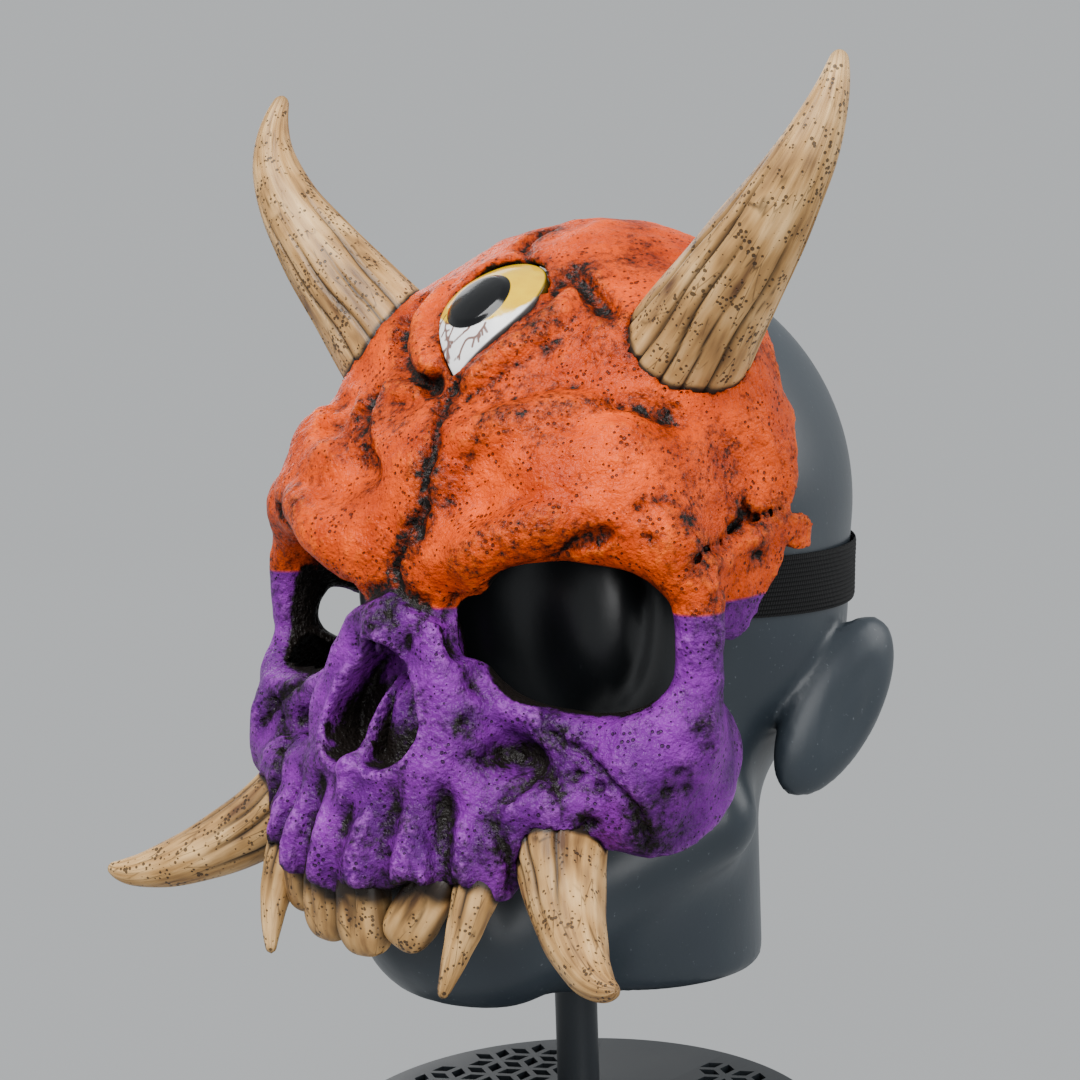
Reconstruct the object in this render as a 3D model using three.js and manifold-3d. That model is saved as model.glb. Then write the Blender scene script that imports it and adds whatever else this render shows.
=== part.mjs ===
// Horned skull mask held by an elastic strap on a display head, which stands on a post with a round foot.
// Millimetres, +Z up, the face looks along -Y, origin under the middle of the foot.
import * as THREE from 'three';
import { mergeVertices } from 'three/addons/utils/BufferGeometryUtils.js';
import Module from 'manifold-3d';

const wasm = await Module();
wasm.setup();

// Driving dimensions of the mask
const faceHeight = 226; // crown of the skull to the tips of the incisors
const maskWall = 4; // thickness of the cast shell
const headGap = 3; // air between the display head and the shell
const seatGap = 0.3; // air around every piece that is seated in the shell

// Driving dimensions of the horns, tusks, teeth and eye
const hornRootRadius = 22;
const hornTipRadius = 2.2;
const tuskRootRadius = 15;
const tuskTipRadius = 1.4;
const canineRootRadius = 8;
const canineTipRadius = 1.3;
const incisorWidth = 16.5;
const incisorThickness = 11;
const sideToothWidth = 12.5;
const eyeBallRadius = 40;
const eyeBulge = 9; // height of the eyeball over its opening
const eyeLength = 50;
const eyeBreadth = 37;

// Driving dimensions of the strap and the stand
const strapWidth = 20;
const strapThickness = 1.6;
const strapAir = 0.9; // air between the strap and what it lies on
const postRadius = 7.4;
const postVisible = 57; // foot to the underside of the head
const postTenon = 30; // length of the post inside the head
const postFlare = 3; // fillet where the post grows out of the foot
const footRadius = 87;
const footThickness = 6;

// The carving below is drawn on a face 226 mm high and grows with faceHeight
const scale = faceHeight / 226;
const undersideShare = 147 / 226; // root of the nose down to the head's underside, as a share of faceHeight
const rootToUnderside = faceHeight * undersideShare;
const faceLevel = footThickness + postVisible + rootToUnderside; // height of the root of the nose

const mirrorSides = [-1, 1];
const degrees = Math.PI / 180;

// Distance functions, negative inside. A point is [x, y, z] in drawn millimetres from the root of the nose
function ball(p, at, size) {
  let near = 0;
  let steep = 0;
  for (let i = 0; i < 3; i += 1) {
    const share = (p[i] - at[i]) / size[i];
    near += share * share;
    steep += (share / size[i]) ** 2;
  }
  near = Math.sqrt(near) + 1e-6;
  return (near * (near - 1)) / (Math.sqrt(steep) + 1e-6);
}

function rod(p, from, to, startRadius, endRadius) {
  let along = 0;
  let length = 0;
  for (let i = 0; i < 3; i += 1) {
    along += (p[i] - from[i]) * (to[i] - from[i]);
    length += (to[i] - from[i]) ** 2;
  }
  const t = Math.min(1, Math.max(0, along / length));
  let away = 0;
  for (let i = 0; i < 3; i += 1) {
    away += (p[i] - from[i] - t * (to[i] - from[i])) ** 2;
  }
  return Math.sqrt(away) - (startRadius + (endRadius - startRadius) * t);
}

function chain(p, points, radii) {
  let nearest = Infinity;
  for (let i = 0; i + 1 < points.length; i += 1) {
    nearest = Math.min(nearest, rod(p, points[i], points[i + 1], radii[i], radii[i + 1]));
  }
  return nearest;
}

function blend(a, b, width) {
  const h = Math.max(width - Math.abs(a - b), 0) / width;
  return Math.min(a, b) - h * h * width * 0.25;
}

function carve(body, cutter, width) {
  return -blend(-body, cutter, width);
}

// Bones of the skull, the same on both sides
function skullForm(point) {
  const p = [Math.abs(point[0]), point[1], point[2]];
  let d = ball(p, [0, 27, 29], [81, 87, 83]); // cranium
  d = blend(d, ball(p, [53, -4, 52], [31, 32, 32]), 22); // swelling under the horn
  const brow = [[9, -70, 7], [26, -71, 10], [52, -60, 20], [80, -46, 14]];
  d = blend(d, chain(p, brow, [13, 13, 11.5, 9.5]), 9);
  d = blend(d, ball(p, [0, -58, 26], [24, 20, 24]), 14); // between the brows
  const rim = [[80, -46, 14], [89, -41, -2], [89, -42, -28], [84, -46, -46]];
  d = blend(d, chain(p, rim, [9.5, 8.5, 8.5, 11]), 7); // outer rim of the eye socket
  d = blend(d, ball(p, [78, 0, 12], [11, 46, 34]), 12); // temple
  d = blend(d, rod(p, [0, -72, -2], [0, -84, -14], 10, 8.5), 6); // bridge of the nose
  const noseSide = [[10, -76, -6], [18, -82, -24], [26, -82, -42], [22, -88, -56]];
  d = blend(d, chain(p, noseSide, [7.5, 8, 9, 9]), 7);
  d = blend(d, ball(p, [0, -66, -60], [42, 34, 34]), 12); // upper jaw
  d = blend(d, ball(p, [0, -80, -76], [37, 27, 26]), 12);
  const lowerRim = [[30, -74, -30], [52, -66, -43], [70, -56, -46], [84, -46, -44]];
  d = blend(d, chain(p, lowerRim, [7, 7.5, 9, 11]), 8);
  d = blend(d, ball(p, [78, -42, -58], [15, 30, 27]), 10); // cheek plate
  d = blend(d, chain(p, [[42, -76, -66], [60, -64, -66], [76, -52, -72]], [12, 10, 10]), 10);
  return d;
}

const toothRoots = [
  { at: [8.5, -105], top: -62, radius: 7.5 },
  { at: [25, -101], top: -60, radius: 8 },
  { at: [41, -90], top: -58, radius: 9 },
];
const gumLevel = -90;

function skullSurface(point) {
  const p = [Math.abs(point[0]), point[1], point[2]];
  let ridges = Infinity;
  for (const root of toothRoots) {
    const [x, y] = root.at;
    const above = [x * 0.8, y + 10, root.top];
    const ridge = rod(p, above, [x, y, gumLevel], root.radius * 0.8, root.radius);
    ridges = Math.min(ridges, ridge);
  }
  const d = blend(skullForm(point), ridges, 4);
  const flat = [p[0], 0, p[2]]; // the nose opening is a pear in front view
  const waist = [5, 0, -36];
  const pear = blend(rod(flat, [0, 0, -22], waist, 5.5, 10), rod(flat, waist, [8, 0, -43], 10, 11), 4);
  const noseFloor = point[1] + 80;
  return carve(d, Math.max(pear, noseFloor), 3);
}

// Display head: a plain adult head leaning back a little
const headTilt = 10 * degrees;
const headCentre = [0, 35, 14];

function headForm(point) {
  const x = Math.abs(point[0]);
  const y = point[1] - headCentre[1];
  const z = point[2] - headCentre[2];
  const upright = [
    x,
    Math.cos(headTilt) * y - Math.sin(headTilt) * z,
    Math.sin(headTilt) * y + Math.cos(headTilt) * z,
  ];
  const level = [x, point[1], point[2]];
  let d = ball(upright, [0, 0, 0], [73, 92, 84]);
  d = blend(d, ball(upright, [0, 14, -40], [74, 68, 58]), 14); // behind the ears
  d = blend(d, ball(upright, [0, -36, -60], [52, 46, 66]), 20); // face
  d = blend(d, rod(upright, [0, -74, -149], [16, -70, -147], 15, 14), 20); // chin
  d = blend(d, rod(upright, [16, -70, -147], [54, -8, -104], 13, 15), 22); // jaw
  d = blend(d, rod(level, [0, 24, -50], [0, 24, -220], 50.5, 51.5), 22); // neck
  d = blend(d, rod(level, [0, -50, -108], [0, 10, -116], 34, 40), 20); // under the jaw
  const underside = -rootToUnderside / scale - 0.06 * point[1]; // lower at the nape than at the chin
  return carve(d, point[2] - underside, 6);
}

// The inside of the shell is plainer than its outside: brows, rims and tooth roots are not hollow
function innerForm(point) {
  const p = [Math.abs(point[0]), point[1], point[2]];
  let d = ball(p, [0, 27, 29], [81, 87, 83]);
  d = blend(d, ball(p, [53, -4, 52], [31, 32, 32]), 22);
  d = blend(d, ball(p, [0, -66, -60], [42, 34, 34]), 20);
  d = blend(d, ball(p, [0, -80, -76], [37, 26, 28]), 12);
  return blend(d, ball(p, [74, -36, -50], [16, 32, 34]), 16);
}

// What the shell leaves free: the wall is taken off the skull, and the display head has room everywhere
function shellInside(point) {
  const behindWall = Math.max(innerForm(point), skullSurface(point)) + maskWall / scale;
  return Math.min(behindWall, headForm(point) - headGap / scale);
}

// Closed solid from a three.js geometry, after its shared corners are merged
function solid(geometry) {
  const bare = geometry.clone();
  bare.deleteAttribute('normal');
  bare.deleteAttribute('uv');
  const merged = mergeVertices(bare, 1e-4);
  const index = merged.index.array;
  const kept = [];
  for (let i = 0; i < index.length; i += 3) {
    const [a, b, c] = [index[i], index[i + 1], index[i + 2]];
    if (a !== b && b !== c && c !== a) {
      kept.push(a, b, c);
    }
  }
  const vertProperties = new Float32Array(merged.attributes.position.array);
  return new wasm.Manifold(new wasm.Mesh({ numProp: 3, vertProperties, triVerts: new Uint32Array(kept) }));
}

function geometryOf(manifold) {
  const mesh = manifold.getMesh();
  const geometry = new THREE.BufferGeometry();
  geometry.setAttribute('position', new THREE.BufferAttribute(new Float32Array(mesh.vertProperties), 3));
  geometry.setIndex(new THREE.BufferAttribute(new Uint32Array(mesh.triVerts), 1));
  geometry.computeVertexNormals();
  return geometry;
}

// Walks in from far outside along a line, where at(r) is the point at reach r, until it meets a form
function walkIn(distance, at) {
  const farOutside = 230;
  const closeEnough = 0.005;
  const stepShare = 0.7; // a step stays shorter than the distance, which is only nearly exact
  const mostSteps = 160;
  let r = farOutside;
  for (let step = 0; step < mostSteps; step += 1) {
    const d = distance(at(r));
    if (d < closeEnough) {
      break;
    }
    r -= d * stepShare;
  }
  return r;
}

// A sphere drawn in on a distance function from outside, for a form that its centre sees all over
function wrap(distance, centre, columns, rows) {
  const geometry = new THREE.SphereGeometry(1, columns, rows);
  geometry.rotateX(Math.PI / 2);
  const position = geometry.attributes.position;
  for (let i = 0; i < position.count; i += 1) {
    const aim = new THREE.Vector3().fromBufferAttribute(position, i);
    const at = (r) => centre.map((v, axis) => v + aim.getComponent(axis) * r);
    const r = walkIn(distance, at);
    position.setXYZ(i, ...at(r).map((v) => v * scale));
  }
  return solid(geometry);
}

// Places of grid planes from low to high: fine steps between two of them, coarse steps outside
function planes(low, high, fineLow, fineHigh, fine, coarse) {
  const places = [low];
  while (places.at(-1) < high) {
    const last = places.at(-1);
    const inFine = last >= fineLow && last < fineHigh;
    places.push(last + (inFine ? fine : coarse));
  }
  return places;
}

function evenPlanes(low, high, step) {
  return planes(low, high, low, low, step, step);
}

// Corner of the skin in one grid cell: the mean of its edges' crossings, drawn onto the surface
function skinCorner(distance, near, far, values) {
  const sum = [0, 0, 0];
  let crossings = 0;
  for (let a = 0; a < 8; a += 1) {
    for (let axis = 0; axis < 3; axis += 1) {
      const b = a | (1 << axis);
      if (a !== b && values[a] < 0 !== values[b] < 0) {
        const share = values[a] / (values[a] - values[b]);
        for (let i = 0; i < 3; i += 1) {
          sum[i] += ((a >> i) & 1) + (i === axis ? share : 0);
        }
        crossings += 1;
      }
    }
  }
  if (crossings === 0) {
    return null;
  }
  let p = sum.map((v, i) => near[i] + (v / crossings) * (far[i] - near[i]));
  const reach = 0.05;
  const margin = 0.015; // the corner stays in its own cell, so no two corners meet
  for (let pass = 0; pass < 3; pass += 1) {
    const d = distance(p);
    const slope = p.map((v, i) => (distance(p.with(i, v + reach)) - d) / reach);
    const steepness = Math.max(0.5, slope[0] ** 2 + slope[1] ** 2 + slope[2] ** 2);
    p = p.map((v, i) => {
      const room = margin * (far[i] - near[i]);
      return THREE.MathUtils.clamp(v - (slope[i] * d) / steepness, near[i] + room, far[i] - room);
    });
  }
  return p;
}

// Closed skin of a distance function on a grid of planes: a corner in every cell that the surface crosses
function skin(distance, axes) {
  const count = axes.map((places) => places.length);
  const stride = [1, count[0], count[0] * count[1]];
  const value = new Float64Array(stride[2] * count[2]);
  const eachPoint = (visit) => {
    for (let k = 0; k < count[2]; k += 1) {
      for (let j = 0; j < count[1]; j += 1) {
        for (let i = 0; i < count[0]; i += 1) {
          visit([i, j, k], i + j * stride[1] + k * stride[2]);
        }
      }
    }
  };
  eachPoint((grid, index) => {
    value[index] = distance(grid.map((v, i) => axes[i][v]));
  });
  // A grid face that is inside and outside crosswise gets one more point inside: no edge has four faces then
  let crossed = true;
  while (crossed) {
    crossed = false;
    eachPoint((grid, index) => {
      for (let axis = 0; axis < 3; axis += 1) {
        const b = (axis + 1) % 3;
        const c = (axis + 2) % 3;
        if (grid[b] + 1 < count[b] && grid[c] + 1 < count[c]) {
          const face = [index, index + stride[b], index + stride[b] + stride[c], index + stride[c]];
          const [p, q, r, s] = face.map((at) => value[at] < 0);
          if (p === r && q === s && p !== q) {
            value[p ? face[1] : face[0]] = -0.01;
            crossed = true;
          }
        }
      }
    });
  }
  const cornerAt = new Int32Array(value.length).fill(-1);
  const corners = [];
  eachPoint((grid, index) => {
    if (grid.every((v, i) => v + 1 < count[i])) {
      const values = [];
      for (let a = 0; a < 8; a += 1) {
        values.push(value[index + (a & 1) * stride[0] + ((a >> 1) & 1) * stride[1] + (a >> 2) * stride[2]]);
      }
      const near = grid.map((v, i) => axes[i][v]);
      const far = grid.map((v, i) => axes[i][v + 1]);
      const corner = skinCorner(distance, near, far, values);
      if (corner) {
        cornerAt[index] = corners.length;
        corners.push(corner);
      }
    }
  });
  const triangles = [];
  eachPoint((grid, index) => {
    for (let axis = 0; axis < 3; axis += 1) {
      const b = (axis + 1) % 3;
      const c = (axis + 2) % 3;
      const inside = value[index] < 0;
      const within = grid[axis] + 1 < count[axis] && grid[b] > 0 && grid[c] > 0;
      if (within && inside !== value[index + stride[axis]] < 0) {
        const around = [0, stride[b], stride[b] + stride[c], stride[c]].map((back) => cornerAt[index - back]);
        const [p, q, r, s] = inside ? around : around.reverse();
        const span = (m, n) => Math.hypot(...corners[m].map((v, i) => v - corners[n][i]));
        triangles.push(...(span(p, r) < span(q, s) ? [p, q, r, p, r, s] : [q, r, s, q, s, p]));
      }
    }
  });
  const geometry = new THREE.BufferGeometry();
  const places = new Float32Array(corners.flat().map((v) => v * scale));
  geometry.setAttribute('position', new THREE.BufferAttribute(places, 3));
  geometry.setIndex(triangles);
  return solid(geometry);
}

// A tapering spike bent along a curve, with lengthwise grooves that fade out towards the tip
function spike(curve, rootRadius, tipRadius, shape) {
  const { sides, rings, taper, grooves = 0, grooveDepth = 0, grow = 0 } = shape;
  const profile = [new THREE.Vector2(0, 0)];
  for (let i = 0; i <= rings; i += 1) {
    profile.push(new THREE.Vector2(1, i / rings));
  }
  profile.push(new THREE.Vector2(0, 1));
  const geometry = new THREE.LatheGeometry(profile, sides);
  const position = geometry.attributes.position;
  const side = new THREE.Vector3();
  const up = new THREE.Vector3();
  for (let i = 0; i < position.count; i += 1) {
    const t = position.getY(i);
    const turn = Math.atan2(position.getX(i), position.getZ(i));
    const onAxis = Math.hypot(position.getX(i), position.getZ(i)) < 0.5;
    const middle = curve.getPoint(t);
    const along = curve.getTangent(t);
    side.set(0, 1, 0).cross(along).normalize();
    up.copy(along).cross(side);
    const plain = tipRadius + (rootRadius - tipRadius) * (1 - t) ** taper;
    const groove = 1 - grooveDepth * (1 - t) * (0.5 - 0.5 * Math.cos(grooves * turn));
    const radius = onAxis ? 0 : plain * groove + grow;
    const capHeight = t > 0.5 ? tipRadius + grow : -grow; // the tip is rounded, the root is flat
    middle.addScaledVector(side, Math.cos(turn) * radius);
    middle.addScaledVector(up, Math.sin(turn) * radius);
    middle.addScaledVector(along, onAxis ? capHeight : 0);
    position.setXYZ(i, middle.x, middle.y, middle.z);
  }
  const made = solid(geometry);
  return made.volume() < 0 ? solid(flipped(geometry)) : made;
}

function flipped(geometry) {
  const index = geometry.index.array;
  for (let i = 0; i < index.length; i += 3) {
    [index[i], index[i + 1]] = [index[i + 1], index[i]];
  }
  return geometry;
}

// Curve through drawn points, mirrored for the wearer's right side, which is at -X
function drawnCurve(points, sideSign) {
  const [a, b, c, d] = points.map(([x, y, z]) => new THREE.Vector3(x * sideSign, y, z).multiplyScalar(scale));
  return new THREE.CubicBezierCurve3(a, b, c, d);
}

const hornLine = [[58, -11, 62], [92, -17, 103], [127, -23, 128], [121, -6.5, 160]];
const tuskLine = [[54, -64, -70], [68, -84, -93], [100, -113, -108], [113, -113, -102]];
const canineLine = [[41, -88, -78], [43, -97, -92], [42, -103, -106], [38, -107, -121]];

function horn(sideSign, grow) {
  const shape = { sides: 12, rings: 9, taper: 0.88, grooves: 4, grooveDepth: 0.1, grow };
  return spike(drawnCurve(hornLine, sideSign), hornRootRadius, hornTipRadius, shape);
}

function tusk(sideSign, grow) {
  const shape = { sides: 10, rings: 6, taper: 0.85, grooves: 3, grooveDepth: 0.06, grow };
  return spike(drawnCurve(tuskLine, sideSign), tuskRootRadius, tuskTipRadius, shape);
}

function canine(sideSign) {
  const shape = { sides: 8, rings: 4, taper: 0.75 };
  return spike(drawnCurve(canineLine, sideSign), canineRootRadius, canineTipRadius, shape);
}

// A front tooth: a rounded block, wider at its cutting edge
const toothSquareness = 0.62; // 1 is an egg, 0 a brick
const toothFlare = 0.12;

function frontTooth({ at, width, height, lean, turn }) {
  const geometry = new THREE.SphereGeometry(1, 8, 6);
  geometry.rotateX(Math.PI / 2);
  const position = geometry.attributes.position;
  const square = (v) => Math.sign(v) * Math.abs(v) ** toothSquareness;
  const half = [width / 2, incisorThickness / 2, (height * scale) / 2];
  for (let i = 0; i < position.count; i += 1) {
    const z = square(position.getZ(i));
    const flare = 1 - toothFlare * z;
    const x = square(position.getX(i)) * half[0] * flare;
    position.setXYZ(i, x, square(position.getY(i)) * half[1], z * half[2]);
  }
  geometry.rotateY(lean * degrees);
  geometry.rotateZ(turn * degrees);
  geometry.translate(at[0] * scale, at[1] * scale, at[2] * scale);
  return solid(geometry);
}

// From the wearer's right to the left; the last one has slipped and leans
const frontTeeth = [
  { at: [-26, -99, -94], width: sideToothWidth, height: 30, lean: -4, turn: -24 },
  { at: [-8.9, -104, -97], width: incisorWidth, height: 32, lean: 3, turn: -4 },
  { at: [8.9, -104, -98], width: incisorWidth, height: 33, lean: -2, turn: 5 },
  { at: [28, -98, -93], width: sideToothWidth, height: 29, lean: 16, turn: 26 },
];

// The third eye stands upright in the forehead: round above and pointed below
const eyeMiddle = [0, -32.5, 80];
const eyeSlope = -46 * degrees; // its face leans back with the forehead

function eyeOpening(grow) {
  const tall = eyeLength / 2 + grow;
  const wide = eyeBreadth / 2 + grow;
  const outline = new THREE.Shape();
  outline.moveTo(0, -tall);
  outline.bezierCurveTo(wide * 0.75, -tall * 0.45, wide * 1.05, -tall * 0.05, wide, tall * 0.35);
  outline.bezierCurveTo(wide * 0.9, tall * 0.85, wide * 0.45, tall, 0, tall);
  outline.bezierCurveTo(-wide * 0.45, tall, -wide * 0.9, tall * 0.85, -wide, tall * 0.35);
  outline.bezierCurveTo(-wide * 1.05, -tall * 0.05, -wide * 0.75, -tall * 0.45, 0, -tall);
  const depth = eyeLength * 1.2; // runs out of the shell on both sides
  const geometry = new THREE.ExtrudeGeometry(outline, { depth, bevelEnabled: false, curveSegments: 5 });
  geometry.translate(0, 0, -depth / 2);
  return placedAtEye(geometry);
}

function placedAtEye(geometry) {
  geometry.rotateX(Math.PI / 2);
  geometry.rotateX(eyeSlope);
  geometry.translate(...eyeMiddle.map((v) => v * scale));
  return solid(geometry);
}

function eyeBall() {
  const geometry = new THREE.SphereGeometry(eyeBallRadius, 24, 16);
  geometry.translate(0, 0, eyeBulge - eyeBallRadius);
  return placedAtEye(geometry);
}

// What is kept of the shell, seen from the side: forehead, broken temple, strap flap, cheek plate and gum
function sideOutline() {
  const edge = new THREE.Shape();
  edge.moveTo(-150, -96);
  edge.lineTo(-84, -96);
  edge.quadraticCurveTo(-78, -80, -66, -78); // arch over the tusk
  edge.lineTo(-56, -82);
  edge.bezierCurveTo(-38, -84, -16, -66, -15, -48); // cheek plate
  edge.quadraticCurveTo(-15, -36, -19, -25);
  edge.lineTo(-7, -21);
  edge.lineTo(-6, -15);
  edge.lineTo(2, -2);
  edge.lineTo(9, 6);
  edge.lineTo(22, 5);
  edge.lineTo(22, 13);
  edge.lineTo(9, 19);
  edge.lineTo(16, 27);
  edge.lineTo(14, 36);
  edge.lineTo(20, 49);
  edge.lineTo(15, 60);
  edge.quadraticCurveTo(24, 84, 42, 104);
  edge.lineTo(46, 150);
  edge.lineTo(-150, 150);
  edge.closePath();
  const across = 300; // wider than the skull
  const geometry = new THREE.ExtrudeGeometry(edge, { depth: across, bevelEnabled: false, curveSegments: 7 });
  geometry.translate(0, 0, -across / 2);
  geometry.rotateX(Math.PI / 2);
  geometry.rotateZ(Math.PI / 2);
  geometry.scale(scale, scale, scale);
  return solid(geometry);
}

// Eye sockets are cut straight through, facing forwards and a little outwards
function socketCutter(sideSign) {
  const outline = new THREE.Shape();
  const squareness = 2.6;
  const corners = 20;
  const halfWidth = 31;
  const halfHeight = 22.5;
  for (let i = 0; i < corners; i += 1) {
    const turn = (i / corners) * Math.PI * 2;
    const wide = Math.abs(Math.cos(turn) / halfWidth) ** squareness;
    const tall = Math.abs(Math.sin(turn) / halfHeight) ** squareness;
    const radius = (wide + tall) ** (-1 / squareness);
    const x = radius * Math.cos(turn);
    const y = radius * Math.sin(turn) - 0.1 * x;
    if (i === 0) {
      outline.moveTo(x, y);
    } else {
      outline.lineTo(x, y);
    }
  }
  const inFront = 42;
  const behind = 78;
  const depth = inFront + behind;
  const geometry = new THREE.ExtrudeGeometry(outline, { depth, bevelEnabled: false, curveSegments: 1 });
  geometry.translate(0, 0, -behind);
  geometry.rotateX(Math.PI / 2);
  geometry.rotateZ(23.5 * degrees);
  geometry.translate(58, -63, -15);
  geometry.scale(scale, scale, scale);
  const made = solid(geometry);
  return sideSign > 0 ? made : made.mirror([1, 0, 0]);
}

// Strap: a band round the back of the head, from inside one temple to inside the other
const strapMiddle = [0, 36]; // x and y of the middle of its turn
const strapReach = 118 * degrees; // how far it runs to each side from the back
const strapLeaves = 82 * degrees; // where it leaves the head for the shell
const strapLevel = -13; // at the back of the head
const strapRise = 5; // from there to its ends
const strapSegments = 34;
const strapRows = 2;

function strap(grow) {
  const geometry = new THREE.BoxGeometry(2, 1, 1, strapSegments, 1, strapRows);
  const position = geometry.attributes.position;
  const rayTo = (distance, turn, height) => {
    const at = (r) => [strapMiddle[0] + Math.sin(turn) * r, strapMiddle[1] + Math.cos(turn) * r, height];
    return walkIn(distance, at) * scale;
  };
  for (let i = 0; i < position.count; i += 1) {
    const turn = position.getX(i) * (strapReach + grow * degrees);
    const share = Math.abs(turn) / strapReach;
    const z = (strapLevel + strapRise * share ** 2) * scale + position.getZ(i) * (strapWidth + 2 * grow);
    const onHead = rayTo(headForm, turn, z / scale) + strapAir;
    const inShell = rayTo(shellInside, turn, z / scale) - strapAir - strapThickness;
    const parting = THREE.MathUtils.smoothstep(Math.abs(turn), strapLeaves, strapReach);
    const inner = Math.max(onHead, onHead + (inShell - onHead) * parting);
    const r = position.getY(i) > 0 ? inner + strapThickness + grow : inner - grow;
    const x = strapMiddle[0] * scale + Math.sin(turn) * r;
    const y = strapMiddle[1] * scale + Math.cos(turn) * r;
    position.setXYZ(i, x, y, z);
  }
  const made = solid(geometry);
  return made.volume() < 0 ? solid(flipped(geometry)) : made;
}

// Mask: only the front of the skull is meshed, a little further back and down than the shell reaches
function frontOf(distance) {
  const backmost = 58;
  const lowest = -114;
  return (p) => Math.max(distance(p), p[1] - backmost, lowest - p[2]);
}

const cavity = skin(frontOf(shellInside), [
  evenPlanes(-114, 114, 19),
  evenPlanes(-126, 74, 18),
  evenPlanes(-136, 124, 18),
]);

function seated(make, sideSign) {
  return make(sideSign, 0).subtract(cavity);
}

const skull = skin(frontOf(skullSurface), [
  planes(-112, 112, -52, 52, 7.4, 15),
  planes(-124, 74, -124, -46, 7.8, 15),
  planes(-132, 124, -104, 22, 7.8, 16),
]);
let shell = skull;
shell = shell.intersect(sideOutline()).subtract(cavity);
for (const sideSign of mirrorSides) {
  shell = shell.subtract(socketCutter(sideSign));
  shell = shell.subtract(horn(sideSign, seatGap));
  shell = shell.subtract(tusk(sideSign, seatGap));
  shell = shell.add(canine(sideSign).subtract(cavity));
}
for (const tooth of frontTeeth) {
  shell = shell.add(frontTooth(tooth).subtract(cavity));
}
shell = shell.subtract(eyeOpening(seatGap));
shell = shell.subtract(strap(seatGap)); // the strap's ends are let into the inside of the wall

// Display head, bored for the post
// The ear is a thick plate that leans back and stands off the head behind
function ear(sideSign) {
  const geometry = new THREE.SphereGeometry(1, 10, 8);
  geometry.scale(9, 19, 35);
  geometry.rotateX(-42 * degrees);
  geometry.rotateZ(-12 * degrees);
  geometry.translate(74, 54, -55);
  geometry.scale(scale, scale, scale);
  const made = solid(geometry);
  return sideSign > 0 ? made : made.mirror([1, 0, 0]);
}

function postBore() {
  const length = postTenon + seatGap;
  const geometry = new THREE.CylinderGeometry(postRadius + seatGap, postRadius + seatGap, length * 2, 24);
  geometry.rotateX(Math.PI / 2);
  geometry.translate(0, 0, -rootToUnderside);
  return solid(geometry);
}

const head = wrap(headForm, [0, 12, -36], 30, 20).add(ear(1)).add(ear(-1)).subtract(postBore());

// Stand: post and perforated foot in one
function post() {
  const top = footThickness + postVisible + postTenon;
  const profile = [new THREE.Vector2(0, 0.5), new THREE.Vector2(postRadius + postFlare, 0.5)];
  profile.push(new THREE.Vector2(postRadius + postFlare, footThickness));
  for (let i = 1; i <= 4; i += 1) {
    const turn = (i / 4) * 90 * degrees;
    const out = postRadius + postFlare * (1 - Math.sin(turn));
    profile.push(new THREE.Vector2(out, footThickness + postFlare * (1 - Math.cos(turn))));
  }
  profile.push(new THREE.Vector2(postRadius, top), new THREE.Vector2(0, top));
  const geometry = new THREE.LatheGeometry(profile, 24);
  geometry.rotateX(Math.PI / 2);
  return solid(geometry);
}

function foot() {
  const geometry = new THREE.CylinderGeometry(footRadius, footRadius, footThickness, 60);
  geometry.rotateX(Math.PI / 2);
  geometry.translate(0, 0, footThickness / 2);
  return solid(geometry);
}

// The whole object
const boneTan = { color: 0xc9a682, roughness: 0.55, metalness: 0 };
const headGrey = { color: 0x3f474f, roughness: 0.5, metalness: 0 };
const object = new THREE.Group();
const onFace = new THREE.Group(); // everything measured from the root of the nose
onFace.position.z = faceLevel;
object.add(onFace);

function addPiece(group, name, made, look) {
  const mesh = new THREE.Mesh(geometryOf(made), new THREE.MeshStandardMaterial(look));
  mesh.name = name;
  group.add(mesh);
}

addPiece(onFace, 'mask_shell', shell, { color: 0xd2551f, roughness: 0.55, metalness: 0 });
addPiece(onFace, 'third_eye', eyeOpening(0).intersect(eyeBall()).subtract(cavity), {
  color: 0xf2ead0,
  roughness: 0.3,
  metalness: 0,
});
for (const sideSign of mirrorSides) {
  const side = sideSign > 0 ? 'left' : 'right';
  addPiece(onFace, `horn_${side}`, seated(horn, sideSign), boneTan);
  addPiece(onFace, `tusk_${side}`, seated(tusk, sideSign), boneTan);
}
addPiece(onFace, 'elastic_strap', strap(0), { color: 0x1c1c1e, roughness: 0.9, metalness: 0 });
addPiece(onFace, 'display_head', head, headGrey);
addPiece(object, 'display_stand', foot().add(post()), headGrey);

export default object;
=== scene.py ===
# Horned skull mask held by an elastic strap on a display head, on a post with a perforated foot.
# The mask and the head are drawn in millimetres from the root of the nose: X to the wearer's left,
# Y to the back, Z up. Finished meshes are in metres and lie in the frame of the CAD.
import math
from functools import partial

import bpy
import numpy as np
from mathutils import Matrix, Vector


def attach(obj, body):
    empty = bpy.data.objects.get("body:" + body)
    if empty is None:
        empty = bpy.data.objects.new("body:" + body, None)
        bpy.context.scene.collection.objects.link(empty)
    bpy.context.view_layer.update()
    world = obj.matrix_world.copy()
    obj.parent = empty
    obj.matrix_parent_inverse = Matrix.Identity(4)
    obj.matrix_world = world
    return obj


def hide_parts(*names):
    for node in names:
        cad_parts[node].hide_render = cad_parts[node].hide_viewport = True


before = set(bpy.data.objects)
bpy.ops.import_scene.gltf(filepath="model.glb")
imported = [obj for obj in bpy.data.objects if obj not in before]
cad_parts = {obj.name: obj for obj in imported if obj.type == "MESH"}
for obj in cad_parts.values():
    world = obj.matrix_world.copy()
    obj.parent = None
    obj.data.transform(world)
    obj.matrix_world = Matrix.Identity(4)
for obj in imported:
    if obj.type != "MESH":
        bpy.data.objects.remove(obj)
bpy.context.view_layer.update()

body = "root"
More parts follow.
